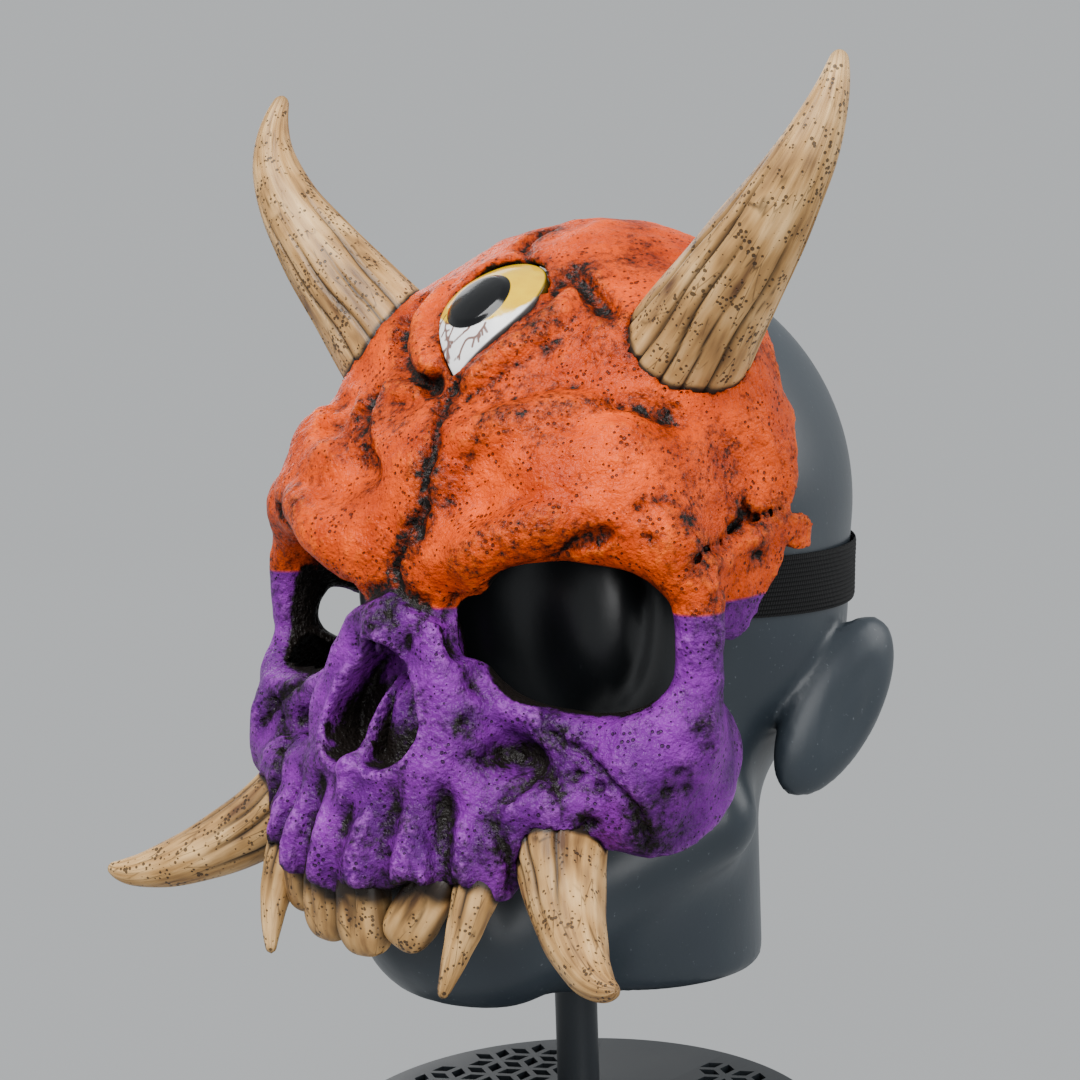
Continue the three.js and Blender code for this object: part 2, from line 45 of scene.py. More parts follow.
faceLevel = 210  # height of the root of the nose above the table, mm


# Forms: each is a distance in millimetres, negative inside

def ball(p, at, size):
    share = [(p[i] - at[i]) / size[i] for i in range(3)]
    near = np.sqrt(share[0] ** 2 + share[1] ** 2 + share[2] ** 2) + 1e-6
    steep = np.sqrt(sum((share[i] / size[i]) ** 2 for i in range(3))) + 1e-6
    return near * (near - 1) / steep


def rod(p, start, end, startRadius, endRadius):
    span = [end[i] - start[i] for i in range(3)]
    length = sum(s * s for s in span)
    t = np.clip(sum((p[i] - start[i]) * span[i] for i in range(3)) / length, 0, 1)
    away = np.sqrt(sum((p[i] - start[i] - t * span[i]) ** 2 for i in range(3)))
    return away - (startRadius + (endRadius - startRadius) * t)


def chain(p, points, radii):
    links = range(len(points) - 1)
    parts = [rod(p, points[i], points[i + 1], radii[i], radii[i + 1]) for i in links]
    return np.minimum.reduce(parts)


def blend(a, b, width):
    h = np.maximum(width - np.abs(a - b), 0) / width
    return np.minimum(a, b) - h * h * width * 0.25


def carve(form, cutter, width):
    return -blend(-form, cutter, width)


def bump01(low, high, value):
    t = np.clip((value - low) / (high - low), 0, 1)
    return t * t * (3 - 2 * t)


class Grid:
    # a box of sample points, the same number of them on both sides of the middle plane
    def __init__(self, low, high, step):
        self.step = step
        half = math.ceil(max(abs(low[0]), abs(high[0])) / step)
        self.places = [np.arange(-half, half + 1) * step]
        self.places += [np.arange(low[i], high[i] + step, step) for i in (1, 2)]
        self.places = [p.astype(np.float32) for p in self.places]
        self.low = np.array([p[0] for p in self.places], float)
        self.span = [high[i] - low[i] + 2 for i in range(3)]
        self.half = half

    def points(self, window=None, folded=False):
        chosen = [self.places[i][window[i]] if window else self.places[i] for i in range(3)]
        if folded:
            chosen[0] = chosen[0][self.half:]
        return [chosen[0][:, None, None], chosen[1][None, :, None], chosen[2][None, None, :]]

    def window(self, low, high):
        slices = []
        for i in range(3):
            first = int((low[i] - self.low[i]) // self.step)
            last = int((high[i] - self.low[i]) // self.step) + 2
            slices.append(slice(max(0, first), max(0, min(last, len(self.places[i])))))
        return tuple(slices)

    def unfold(self, half):
        return np.concatenate([half[:0:-1], half])

    def sample(self, field, points):
        at = (np.asarray(points, float) - self.low) / self.step
        cell = np.clip(np.floor(at).astype(int), 0, np.array(field.shape) - 2)
        share = np.clip(at - cell, 0, 1)
        found = 0
        for corner in range(8):
            shift = [(corner >> i) & 1 for i in range(3)]
            weight = np.prod([share[:, i] if shift[i] else 1 - share[:, i] for i in range(3)], axis=0)
            found = found + weight * field[tuple(cell[:, i] + shift[i] for i in range(3))]
        return found

    def slope(self, field, points):
        reach = self.step * 0.75
        sides = []
        for i in range(3):
            shift = np.zeros(3)
            shift[i] = reach
            sides.append(self.sample(field, points + shift) - self.sample(field, points - shift))
        return np.stack(sides, axis=1) / (2 * reach)

    def settle(self, field, points, passes=3, limit=9.0):
        points = np.array(points, float)
        start = points.copy()
        for _ in range(passes):
            slope = self.slope(field, points)
            steep = np.maximum((slope ** 2).sum(axis=1), 0.3)
            points = points - slope * (self.sample(field, points) / steep)[:, None]
            points = start + np.clip(points - start, -limit, limit)
        return points

    def lumps(self, period, seed, folded=False):
        # smooth random numbers from -1 to 1, one lattice point every period
        random = np.random.default_rng(seed)
        size = [int(self.span[i] / period[i]) + 3 for i in range(3)]
        field = random.uniform(-1, 1, size).astype(np.float32)
        for axis in range(3):
            at = np.arange(self.places[axis].size) * self.step / period[axis]
            cell = np.floor(at).astype(int)
            share = (at - cell).astype(np.float32)
            share = share * share * (3 - 2 * share)
            shape = [1, 1, 1]
            shape[axis] = -1
            share = share.reshape(shape)
            field = field.take(cell, axis) * (1 - share) + field.take(cell + 1, axis) * share
        return field[self.half:] if folded else field


def blurred(field, reach):
    # mean over a cube that reaches so many samples to each side
    for axis in range(3):
        pad = [(0, 0)] * 3
        pad[axis] = (reach + 1, reach)
        total = np.cumsum(np.pad(field, pad, mode="edge"), axis=axis, dtype=np.float64)
        count = field.shape[axis]
        high = total.take(np.arange(2 * reach + 1, 2 * reach + 1 + count), axis)
        low = total.take(np.arange(0, count), axis)
        field = ((high - low) / (2 * reach + 1)).astype(np.float32)
    return field


def skinOf(field, grid):
    # closed mesh of quads round what is negative: one corner in each cell that the surface crosses
    field = field.copy()
    for axis in range(3):
        edge = [slice(None)] * 3
        edge[axis] = [0, -1]
        field[tuple(edge)] = np.maximum(field[tuple(edge)], 0.5)
    for _ in range(12):
        inside = field < 0
        crossed = 0
        for axis in range(3):
            b, c = (axis + 1) % 3, (axis + 2) % 3

            def part(shiftB, shiftC):
                cut = [slice(None)] * 3
                cut[b] = slice(shiftB, field.shape[b] - 1 + shiftB)
                cut[c] = slice(shiftC, field.shape[c] - 1 + shiftC)
                return tuple(cut)

            p, q, r, s = (inside[part(*at)] for at in ((0, 0), (1, 0), (1, 1), (0, 1)))
            twisted = (p == r) & (q == s) & (p != q)
            crossed += int(twisted.sum())
            field[part(1, 0)][twisted & p] = -0.01
            field[part(0, 0)][twisted & ~p] = -0.01
        if crossed == 0:
            break
    inside = field < 0
    count = sum(inside[a:inside.shape[0] - 1 + a, b:inside.shape[1] - 1 + b, c:inside.shape[2] - 1 + c]
                .astype(np.int8) for a in (0, 1) for b in (0, 1) for c in (0, 1))
    cells = np.argwhere((count > 0) & (count < 8))
    numberOf = np.full(count.shape, -1)
    numberOf[tuple(cells.T)] = np.arange(len(cells))
    total = np.zeros((len(cells), 3))
    hits = np.zeros(len(cells))
    for axis in range(3):
        for corner in range(4):
            start = np.zeros(3, int)
            start[(axis + 1) % 3] = corner & 1
            start[(axis + 2) % 3] = corner >> 1
            end = start.copy()
            end[axis] = 1
            near = field[tuple((cells + start).T)]
            far = field[tuple((cells + end).T)]
            crosses = (near < 0) != (far < 0)
            share = np.where(crosses, near / np.where(near == far, 1, near - far), 0)
            place = start + share[:, None] * (end - start)
            total += place * crosses[:, None]
            hits += crosses
    corners = grid.low + (cells + total / hits[:, None]) * grid.step
    corners = grid.settle(field, corners, passes=2, limit=grid.step * 0.5)
    faces = []
    for axis in range(3):
        b, c = (axis + 1) % 3, (axis + 2) % 3
        near = [slice(None)] * 3
        far = [slice(None)] * 3
        near[axis] = slice(0, -1)
        far[axis] = slice(1, None)
        changes = inside[tuple(near)] != inside[tuple(far)]
        at = np.argwhere(changes)
        keep = (at[:, b] > 0) & (at[:, c] > 0)
        keep &= (at[:, b] < count.shape[b]) & (at[:, c] < count.shape[c])
        at = at[keep]
        stepB = np.zeros(3, int)
        stepB[b] = 1
        stepC = np.zeros(3, int)
        stepC[c] = 1
        quad = np.stack([numberOf[tuple((at - back).T)] for back in (0 * stepB, stepB, stepB + stepC, stepC)], axis=1)
        outward = inside[tuple(near)][tuple(at.T)]
        faces.append(np.where(outward[:, None], quad, quad[:, ::-1]))
    return corners, np.concatenate(faces)


# Meshes and materials

def meshPiece(name, corners, faces, material, level=faceLevel):
    mesh = bpy.data.meshes.new(name)
    places = (np.asarray(corners, float) + [0, 0, level]) * 0.001
    mesh.from_pydata(places.tolist(), [], [list(map(int, face)) for face in faces])
    mesh.materials.append(material)
    mesh.polygons.foreach_set("use_smooth", [True] * len(mesh.polygons))
    mesh.update()
    piece = bpy.data.objects.new(name, mesh)
    bpy.context.scene.collection.objects.link(piece)
    return piece


def giveValues(piece, name, values):
    values = np.asarray(values, np.float32)
    kind = "FLOAT_VECTOR" if values.ndim == 2 else "FLOAT"
    attribute = piece.data.attributes.new(name, kind, "POINT")
    attribute.data.foreach_set("vector" if values.ndim == 2 else "value", values.ravel())


def standFor(piece, nodes):
    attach(piece, body)
    if nodes:
        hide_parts(*nodes)
    print(f"{piece.name}: {len(piece.data.polygons)} faces")


def linear(code):
    parts = [int(code[i:i + 2], 16) / 255 for i in (1, 3, 5)]
    return [c / 12.92 if c <= 0.04045 else ((c + 0.055) / 1.055) ** 2.4 for c in parts] + [1]


def perMetre(millimetres):
    return 1000 / millimetres  # scale of a texture whose pattern has this size


def giveInputs(node, inputs):
    # an input is a value, a colour's code, an output socket, or a node, which gives its first output in use
    for key, value in inputs.items():
        if isinstance(value, str):
            value = linear(value)
        if isinstance(value, bpy.types.Node):
            value = next(socket for socket in value.outputs if socket.enabled)
        if isinstance(value, bpy.types.NodeSocket):
            node.id_data.links.new(value, node.inputs[key])
        else:
            node.inputs[key].default_value = value


def addNode(tree, kind, inputs=None, **settings):
    node = tree.nodes.new(kind if kind.startswith(("Geometry", "NodeGroup")) else "ShaderNode" + kind)
    for key, value in settings.items():
        setattr(node, key, value)
    giveInputs(node, inputs or {})
    return node


def newMaterial(name, roughness, ior=1.5):
    material = bpy.data.materials.new(name)
    material.use_nodes = True
    tree = material.node_tree
    surface = tree.nodes["Principled BSDF"]
    giveInputs(surface, {"Roughness": roughness, "IOR": ior})
    return material, partial(addNode, tree), surface


def giveStops(ramp, stops):
    elements = ramp.color_ramp.elements
    while len(elements) < len(stops):
        elements.new(0.5)
    for element, (position, code) in zip(elements, stops):
        element.position = position
        element.color = linear(code)


def poresIn(add, place, size, patchy, patches, radii, soft, most):
    # some of the cells of a fine pattern, larger where the patches are strong
    cells = add("TexVoronoi", {"Vector": place, "Scale": perMetre(size)})
    radius = add("MapRange", {"Value": patchy, "From Min": patches[0], "From Max": patches[1], "To Min": radii[0],
                              "To Max": radii[1]})
    edge = add("Math", {0: radius, 1: soft}, operation="ADD")
    return add("MapRange", {"Value": cells, "From Min": radius, "From Max": edge, "To Min": most, "To Max": 0.0})


def mouldedPlastic(name, roughness, tones, clouds, gloss, grain):
    # uneven tone and gloss, and a fine grain in relief
    material, add, surface = newMaterial(name, roughness, 1.47)
    place = add("TexCoord").outputs["Object"]
    cloudy = add("TexNoise", {"Vector": place, "Scale": perMetre(clouds[0]), "Detail": clouds[1]})
    tone = add("Mix", {0: cloudy, 6: tones[0], 7: tones[1]}, data_type="RGBA")
    rough = add("MapRange", {"Value": cloudy, "To Min": gloss[0], "To Max": gloss[1]})
    bumps = add("TexNoise", {"Vector": place, "Scale": perMetre(grain[0]), "Detail": grain[1]})
    relief = add("Bump", {"Height": bumps, "Strength": grain[2], "Distance": grain[3]})
    giveInputs(surface, {"Base Color": tone, "Roughness": rough, "Normal": relief})
    return material, add, surface, place, tone


def bezier(points, t):
    t = np.asarray(t, float)[:, None]
    last = len(points) - 1
    return sum(math.comb(last, i) * np.array(p, float) * t ** i * (1 - t) ** (last - i) for i, p in enumerate(points))


def tubeFaces(rings, sides, first, last, flip=False):
    # quads from ring to ring, and a fan at each end round the corner with that number
    i, j = np.divmod(np.arange((rings - 1) * sides), sides)
    k = (j + 1) % sides
    quads = np.stack([i * sides + j, i * sides + k, (i + 1) * sides + k, (i + 1) * sides + j], axis=1)
    j, end = np.arange(sides), (rings - 1) * sides
    k = (j + 1) % sides
    fans = [np.stack([k, j, 0 * j + first], axis=1), np.stack([end + j, end + k, 0 * j + last], axis=1)]
    if flip:
        quads = quads[:, [0, 3, 2, 1]]
        fans = [fan[:, ::-1] for fan in fans]
    return quads.tolist() + fans[0].tolist() + fans[1].tolist()


def divided(points, spacing):
    # the same line with more points, no further apart than spacing
    found = []
    for start, end in zip(points[:-1], points[1:]):
        start, end = np.array(start, float), np.array(end, float)
        count = max(1, math.ceil(np.linalg.norm(end - start) / spacing))
        found += [start + (end - start) * i / count for i in range(count)]
    return np.array(found + [np.array(points[-1], float)])


def maskPaint():
    # Cast resin under airbrushed satin acrylic: orange above, purple below. A black wash lies in the
    # cracks and round them, fine casting pores hold more of it, and raised places are dry-brushed pale.
    # The wash attribute also carries painted shade: in wide valleys, deep in the nose opening and in the sockets.
    material, add, surface = newMaterial("airbrushed satin acrylic on cast resin", 0.4, 1.5)
    giveInputs(surface, {"Specular IOR Level": 0.14})
    place = add("TexCoord").outputs["Object"]
    edge = add("Attribute", attribute_name="paintEdge").outputs["Fac"]
    wash = add("Attribute", attribute_name="wash").outputs["Fac"]
    worn = add("Attribute", attribute_name="worn").outputs["Fac"]
    cloudy = add("TexNoise", {"Vector": place, "Scale": perMetre(16), "Detail": 3.0})
    grainy = add("TexNoise", {"Vector": place, "Scale": perMetre(2.2), "Detail": 2.0})
    patchy = add("TexNoise", {"Vector": place, "Scale": perMetre(9), "Detail": 1.0})
    orange = add("ValToRGB", {"Fac": cloudy})
    giveStops(orange, [(0.3, "#b03400"), (0.7, "#ec5300")])
    purple = add("ValToRGB", {"Fac": cloudy})
    giveStops(purple, [(0.3, "#4a0f60"), (0.72, "#7e2298")])
    above = add("MapRange", {"Value": edge, "From Min": -0.5, "From Max": 0.5})
    paint = add("Mix", {0: above, 6: purple, 7: orange}, data_type="RGBA")
    pale = add("Mix", {0: above, 6: "#a34fbc", 7: "#ff7008"}, data_type="RGBA")
    brushed = add("MapRange", {"Value": grainy, "From Min": 0.42, "From Max": 0.62})
    wornHere = add("Math", {0: worn, 1: brushed}, operation="MULTIPLY")
    wornSoft = add("Math", {0: wornHere, 1: 0.65}, operation="MULTIPLY", use_clamp=True)
    lit = add("Mix", {0: wornSoft, 6: paint, 7: pale}, data_type="RGBA")
    pore = poresIn(add, place, 2.1, patchy, (0.4, 0.7), (0.02, 0.27), 0.08, 1.0)
    # black wash and painted shade: full in the cracks, broken up into specks where it is thin, and in patches on the
    # open bone
    clouds = add("TexNoise", {"Vector": place, "Scale": perMetre(24), "Detail": 2.0})
    haze = add("MapRange", {"Value": clouds, "From Min": 0.4, "From Max": 0.64, "To Min": 0.08, "To Max": 0.44})
    laid = add("Math", {0: wash, 1: haze}, operation="ADD")
    dry = add("TexNoise", {"Vector": place, "Scale": perMetre(2.6), "Detail": 4.0, "Roughness": 0.7})
    broken = add("Math", {0: dry, 1: 2.4, 2: laid}, operation="MULTIPLY_ADD")
    dark = add("MapRange", {"Value": broken, "From Min": 1.46, "From Max": 2.1})
    poreDark = add("Math", {0: pore, 1: 0.8}, operation="MULTIPLY")
    darkest = add("Math", {0: dark, 1: poreDark}, operation="MAXIMUM", use_clamp=True)
    soft = add("MapRange", {"Value": laid, "From Min": 0.14, "From Max": 0.95, "To Max": 0.8})
    deep = add("Mix", {0: above, 6: "#1d0b28", 7: "#4a1405"}, data_type="RGBA")
    sprayed = add("Mix", {0: soft, 6: lit, 7: deep}, data_type="RGBA")
    colour = add("Mix", {0: darkest, 6: sprayed, 7: "#15110f"}, data_type="RGBA")
    rough = add("MapRange", {"Value": grainy, "From Min": 0.3, "From Max": 0.7, "To Min": 0.3, "To Max": 0.48})
    fine = add("TexNoise", {"Vector": place, "Scale": perMetre(0.9), "Detail": 1.0})
    sunk = add("Math", {0: pore, 1: -1.5}, operation="MULTIPLY")
    height = add("Math", {0: grainy, 1: 1.4, 2: sunk}, operation="MULTIPLY_ADD")
    height = add("Math", {0: fine, 1: 0.5, 2: height}, operation="MULTIPLY_ADD")
    relief = add("Bump", {"Height": height, "Strength": 0.9, "Distance": 0.0009})
    giveInputs(surface, {"Base Color": colour, "Roughness": rough, "Normal": relief})
    return material


def bonePaint():
    # Cast resin painted bone tan, with brown wash rubbed into its lengthwise grain. The grain attribute
    # is a place that runs five times slower along the horn, so patterns on it are drawn out lengthwise.
    material, add, surface = newMaterial("bone tan acrylic on cast resin", 0.45, 1.5)
    giveInputs(surface, {"Specular IOR Level": 0.35})
    grain = add("Attribute", attribute_name="grain").outputs["Vector"]
    wash = add("Attribute", attribute_name="wash").outputs["Fac"]
    place = add("TexCoord").outputs["Object"]
    streaks = add("TexNoise", {"Vector": grain, "Scale": perMetre(5), "Detail": 3.0})
    cloudy = add("TexNoise", {"Vector": place, "Scale": perMetre(20), "Detail": 2.0})
    tone = add("Math", {0: streaks, 1: cloudy}, operation="ADD")
    half = add("Math", {0: tone, 1: 0.5}, operation="MULTIPLY")
    tan = add("ValToRGB", {"Fac": half})
    giveStops(tan, [(0.33, "#583a22"), (0.48, "#b08650"), (0.66, "#e2b87e")])
    patchy = add("TexNoise", {"Vector": place, "Scale": perMetre(7), "Detail": 1.0})
    pore = poresIn(add, place, 1.7, patchy, (0.34, 0.66), (0.0, 0.36), 0.07, 0.85)
    cracks = add("TexVoronoi", {"Vector": grain, "Scale": perMetre(5)}, feature="DISTANCE_TO_EDGE")
    thin = add("MapRange", {"Value": cracks, "From Max": 0.04, "To Min": 0.75, "To Max": 0.0})
    thinHere = add("MapRange", {"Value": patchy, "From Min": 0.38, "From Max": 0.55})
    crack = add("Math", {0: thin, 1: thinHere}, operation="MULTIPLY")
    dark = add("Math", {0: wash, 1: pore}, operation="MAXIMUM")
    dark = add("Math", {0: dark, 1: crack}, operation="MAXIMUM", use_clamp=True)
    colour = add("Mix", {0: dark, 6: tan, 7: "#1f150d"}, data_type="RGBA")
    rough = add("MapRange", {"Value": streaks, "To Min": 0.36, "To Max": 0.55})
    sunk = add("Math", {0: pore, 1: -1.2}, operation="MULTIPLY")
    height = add("Math", {0: streaks, 1: 1.6, 2: sunk}, operation="MULTIPLY_ADD")
    relief = add("Bump", {"Height": height, "Strength": 0.7, "Distance": 0.0005})
    giveInputs(surface, {"Base Color": colour, "Roughness": rough, "Normal": relief})
    return material


paintOfMask = maskPaint()
paintOfBone = bonePaint()


mask = {
    "step": 1.41,  # spacing of the sample points
    "wall": 3.8,
    "headGap": 3.0,
    "seam": 0.5,  # open line round horns, tusks and eye
    "paintLevel": -7,  # orange above, purple below
    # lower edge of the gum, from the wearer's right to the left
    "gumAcross": [-55, -50, -46, -41, -36, -30, -22, -13, -3, 5, 16, 28, 35, 41, 46, 50, 55],
    "gumHeight": [-110, -94, -91, -85.7, -89, -86.5, -92, -89.5, -95, -89, -91.5, -85.5, -89, -85.7, -91, -94, -110],
}


def joined(p, parts):
    # each part is a ball (middle, half sizes) or a list of points with a radius at each, and the blend's width
    form = None
    for at, size, width in parts:
        part = chain(p, at, size) if isinstance(at, list) else ball(p, at, size)
        form = part if form is None else blend(form, part, width)
    return form


skullParts = [
    ((0, 27, 29), (81, 87, 83), 0), ((53, -4, 52), (31, 32, 32), 22),
    # brow and forehead
    ([(9, -70, 7), (26, -71, 10), (52, -60, 20), (80, -46, 14)], [13, 13, 11.5, 9.5], 9),
    ((60, -41, 31), (23, 20, 22), 14), ((32, -50, 35), (26, 18.5, 19), 12), ((0, -58, 26), (24, 20, 24), 14),
    # outer rim of the eye socket, temple
    ([(80, -46, 14), (89, -41, -2), (89, -42, -28), (84, -46, -46)], [9.5, 8.5, 8.5, 11], 7),
    ((78, 0, 12), (11, 46, 34), 12),
    # nose and upper jaw
    ([(0, -72, -2), (0, -84, -14)], [10, 8.5], 6),
    ([(10, -76, -6), (18, -82, -24), (26, -82, -42), (22, -88, -56)], [7.5, 8, 9, 9], 7),
    ((0, -66, -60), (42, 34, 34), 12), ((0, -80, -76), (37, 27, 26), 12),
    # lower rim and cheek
    ([(30, -74, -30), (52, -66, -43), (70, -56, -46), (84, -46, -44)], [7, 7.5, 9, 11], 8),
    ((78, -42, -58), (15, 30, 27), 10),
    ([(42, -80, -68), (57, -74, -67), (74, -59, -69)], [12, 13, 12], 8),
    ((55, -62, -54), (18, 12, 17), 8), ((0, -66, -26), (11, 13, 20), 4),
    # gum, and the roots of three teeth
    ([(0, -103, -84), (18, -101, -84), (33, -93, -82), (45, -84, -79)], [9.5, 9.5, 9.5, 10], 8),
]
skullParts += [([(x * 0.8, y + 10, top), (x, y, -90)], [radius * 0.8, radius], 8)
               for x, y, top, radius in ((8.5, -105, -62, 7.5), (25, -101, -60, 8), (41, -90, -58, 9))]


def skullForm(p):
    return joined(p, skullParts)


def headForm(p):
    x = np.abs(p[0])
    tilt = math.radians(10)
    y, z = p[1] - 35, p[2] - 14
    upright = [x, math.cos(tilt) * y - math.sin(tilt) * z, math.sin(tilt) * y + math.cos(tilt) * z]
    level = [x, p[1], p[2]]
    d = joined(upright, [
        ((0, 0, 0), (73, 92, 84), 0), ((0, 14, -40), (74, 68, 58), 14), ((0, -36, -60), (52, 46, 66), 20),
        ([(0, -70, -149), (16, -66, -147)], [15, 14], 20), ([(16, -66, -147), (54, -8, -104)], [13, 15], 22)])
    d = blend(d, rod(level, (0, 24, -50), (0, 24, -220), 50.5, 51.5), 22)
    d = blend(d, rod(level, (0, -50, -108), (0, 10, -116), 34, 40), 20)
    d = blend(d, ball(level, (43, -33, -12), (17, 15, 32)), 8)
    return carve(d, p[2] + 147 + 0.06 * p[1], 6)


def innerForm(p):
    return joined(p, [
        ((0, 27, 29), (81, 87, 83), 0), ((53, -4, 52), (31, 32, 32), 22), ((0, -66, -60), (42, 34, 34), 20),
        ((0, -80, -76), (37, 26, 28), 12), ((74, -36, -50), (16, 32, 34), 16)])


def nosePear(p):
    flat = [p[0], 0 * p[1], p[2]]
    return blend(rod(flat, (0, 0, -22), (5, 0, -36), 5.5, 10), rod(flat, (5, 0, -36), (8, 0, -43), 10, 11), 4)


def socketForm(p):
    turn = math.radians(23.5)
    dx, dy = p[0] - 58, p[1] + 63
    wide = math.cos(turn) * dx + math.sin(turn) * dy
    deep = -math.sin(turn) * dx + math.cos(turn) * dy
    tall = p[2] + 15 + 0.1 * wide + 0.12 * np.clip(deep, 0, 12) * bump01(-10, -25, p[2])
    ring = ((np.abs(wide) / 31) ** 2.6 + (np.abs(tall) / 22.5) ** 2.6) ** (1 / 2.6)
    return np.maximum((ring - 1) * 25, np.abs(deep - 18) - 60)


def sideOutline():
    def curve(*points):
        return list(bezier(points, np.linspace(0, 1, 9)[1:]))

    line = [(-150, -96), (-84, -96)]
    line += curve((-84, -96), (-78, -80), (-66, -78))
    line += [(-56, -82)]
    line += curve((-56, -82), (-38, -84), (-16, -66), (-15, -48))
    line += curve((-15, -48), (-15, -36), (-19, -25))
    line += [(-7, -21), (-6, -15), (2, -2), (9, 6), (22, 5), (22, 13), (9, 19), (16, 27), (14, 36), (20, 49)]
    line += [(15, 60)]
    line += curve((15, 60), (24, 84), (42, 104))
    line += [(46, 150), (-150, 150)]
    return np.array([list(q) for q in line], float)


def insideOutline(y, z, line):
    # signed distance to the side outline, negative inside
    nearest = np.full(np.broadcast_shapes(y.shape, z.shape), 1e9)
    inside = np.zeros(nearest.shape, bool)
    for (ay, az), (by, bz) in zip(line, np.roll(line, -1, axis=0)):
        ey, ez = by - ay, bz - az
        t = np.clip(((y - ay) * ey + (z - az) * ez) / (ey * ey + ez * ez + 1e-9), 0, 1)
        nearest = np.minimum(nearest, np.hypot(y - ay - t * ey, z - az - t * ez))
        if az != bz:
            crosses = ((az > z) != (bz > z)) & (y < ay + (z - az) * ey / ez)
            inside ^= crosses
    return np.where(inside, -nearest, nearest).astype(np.float32)


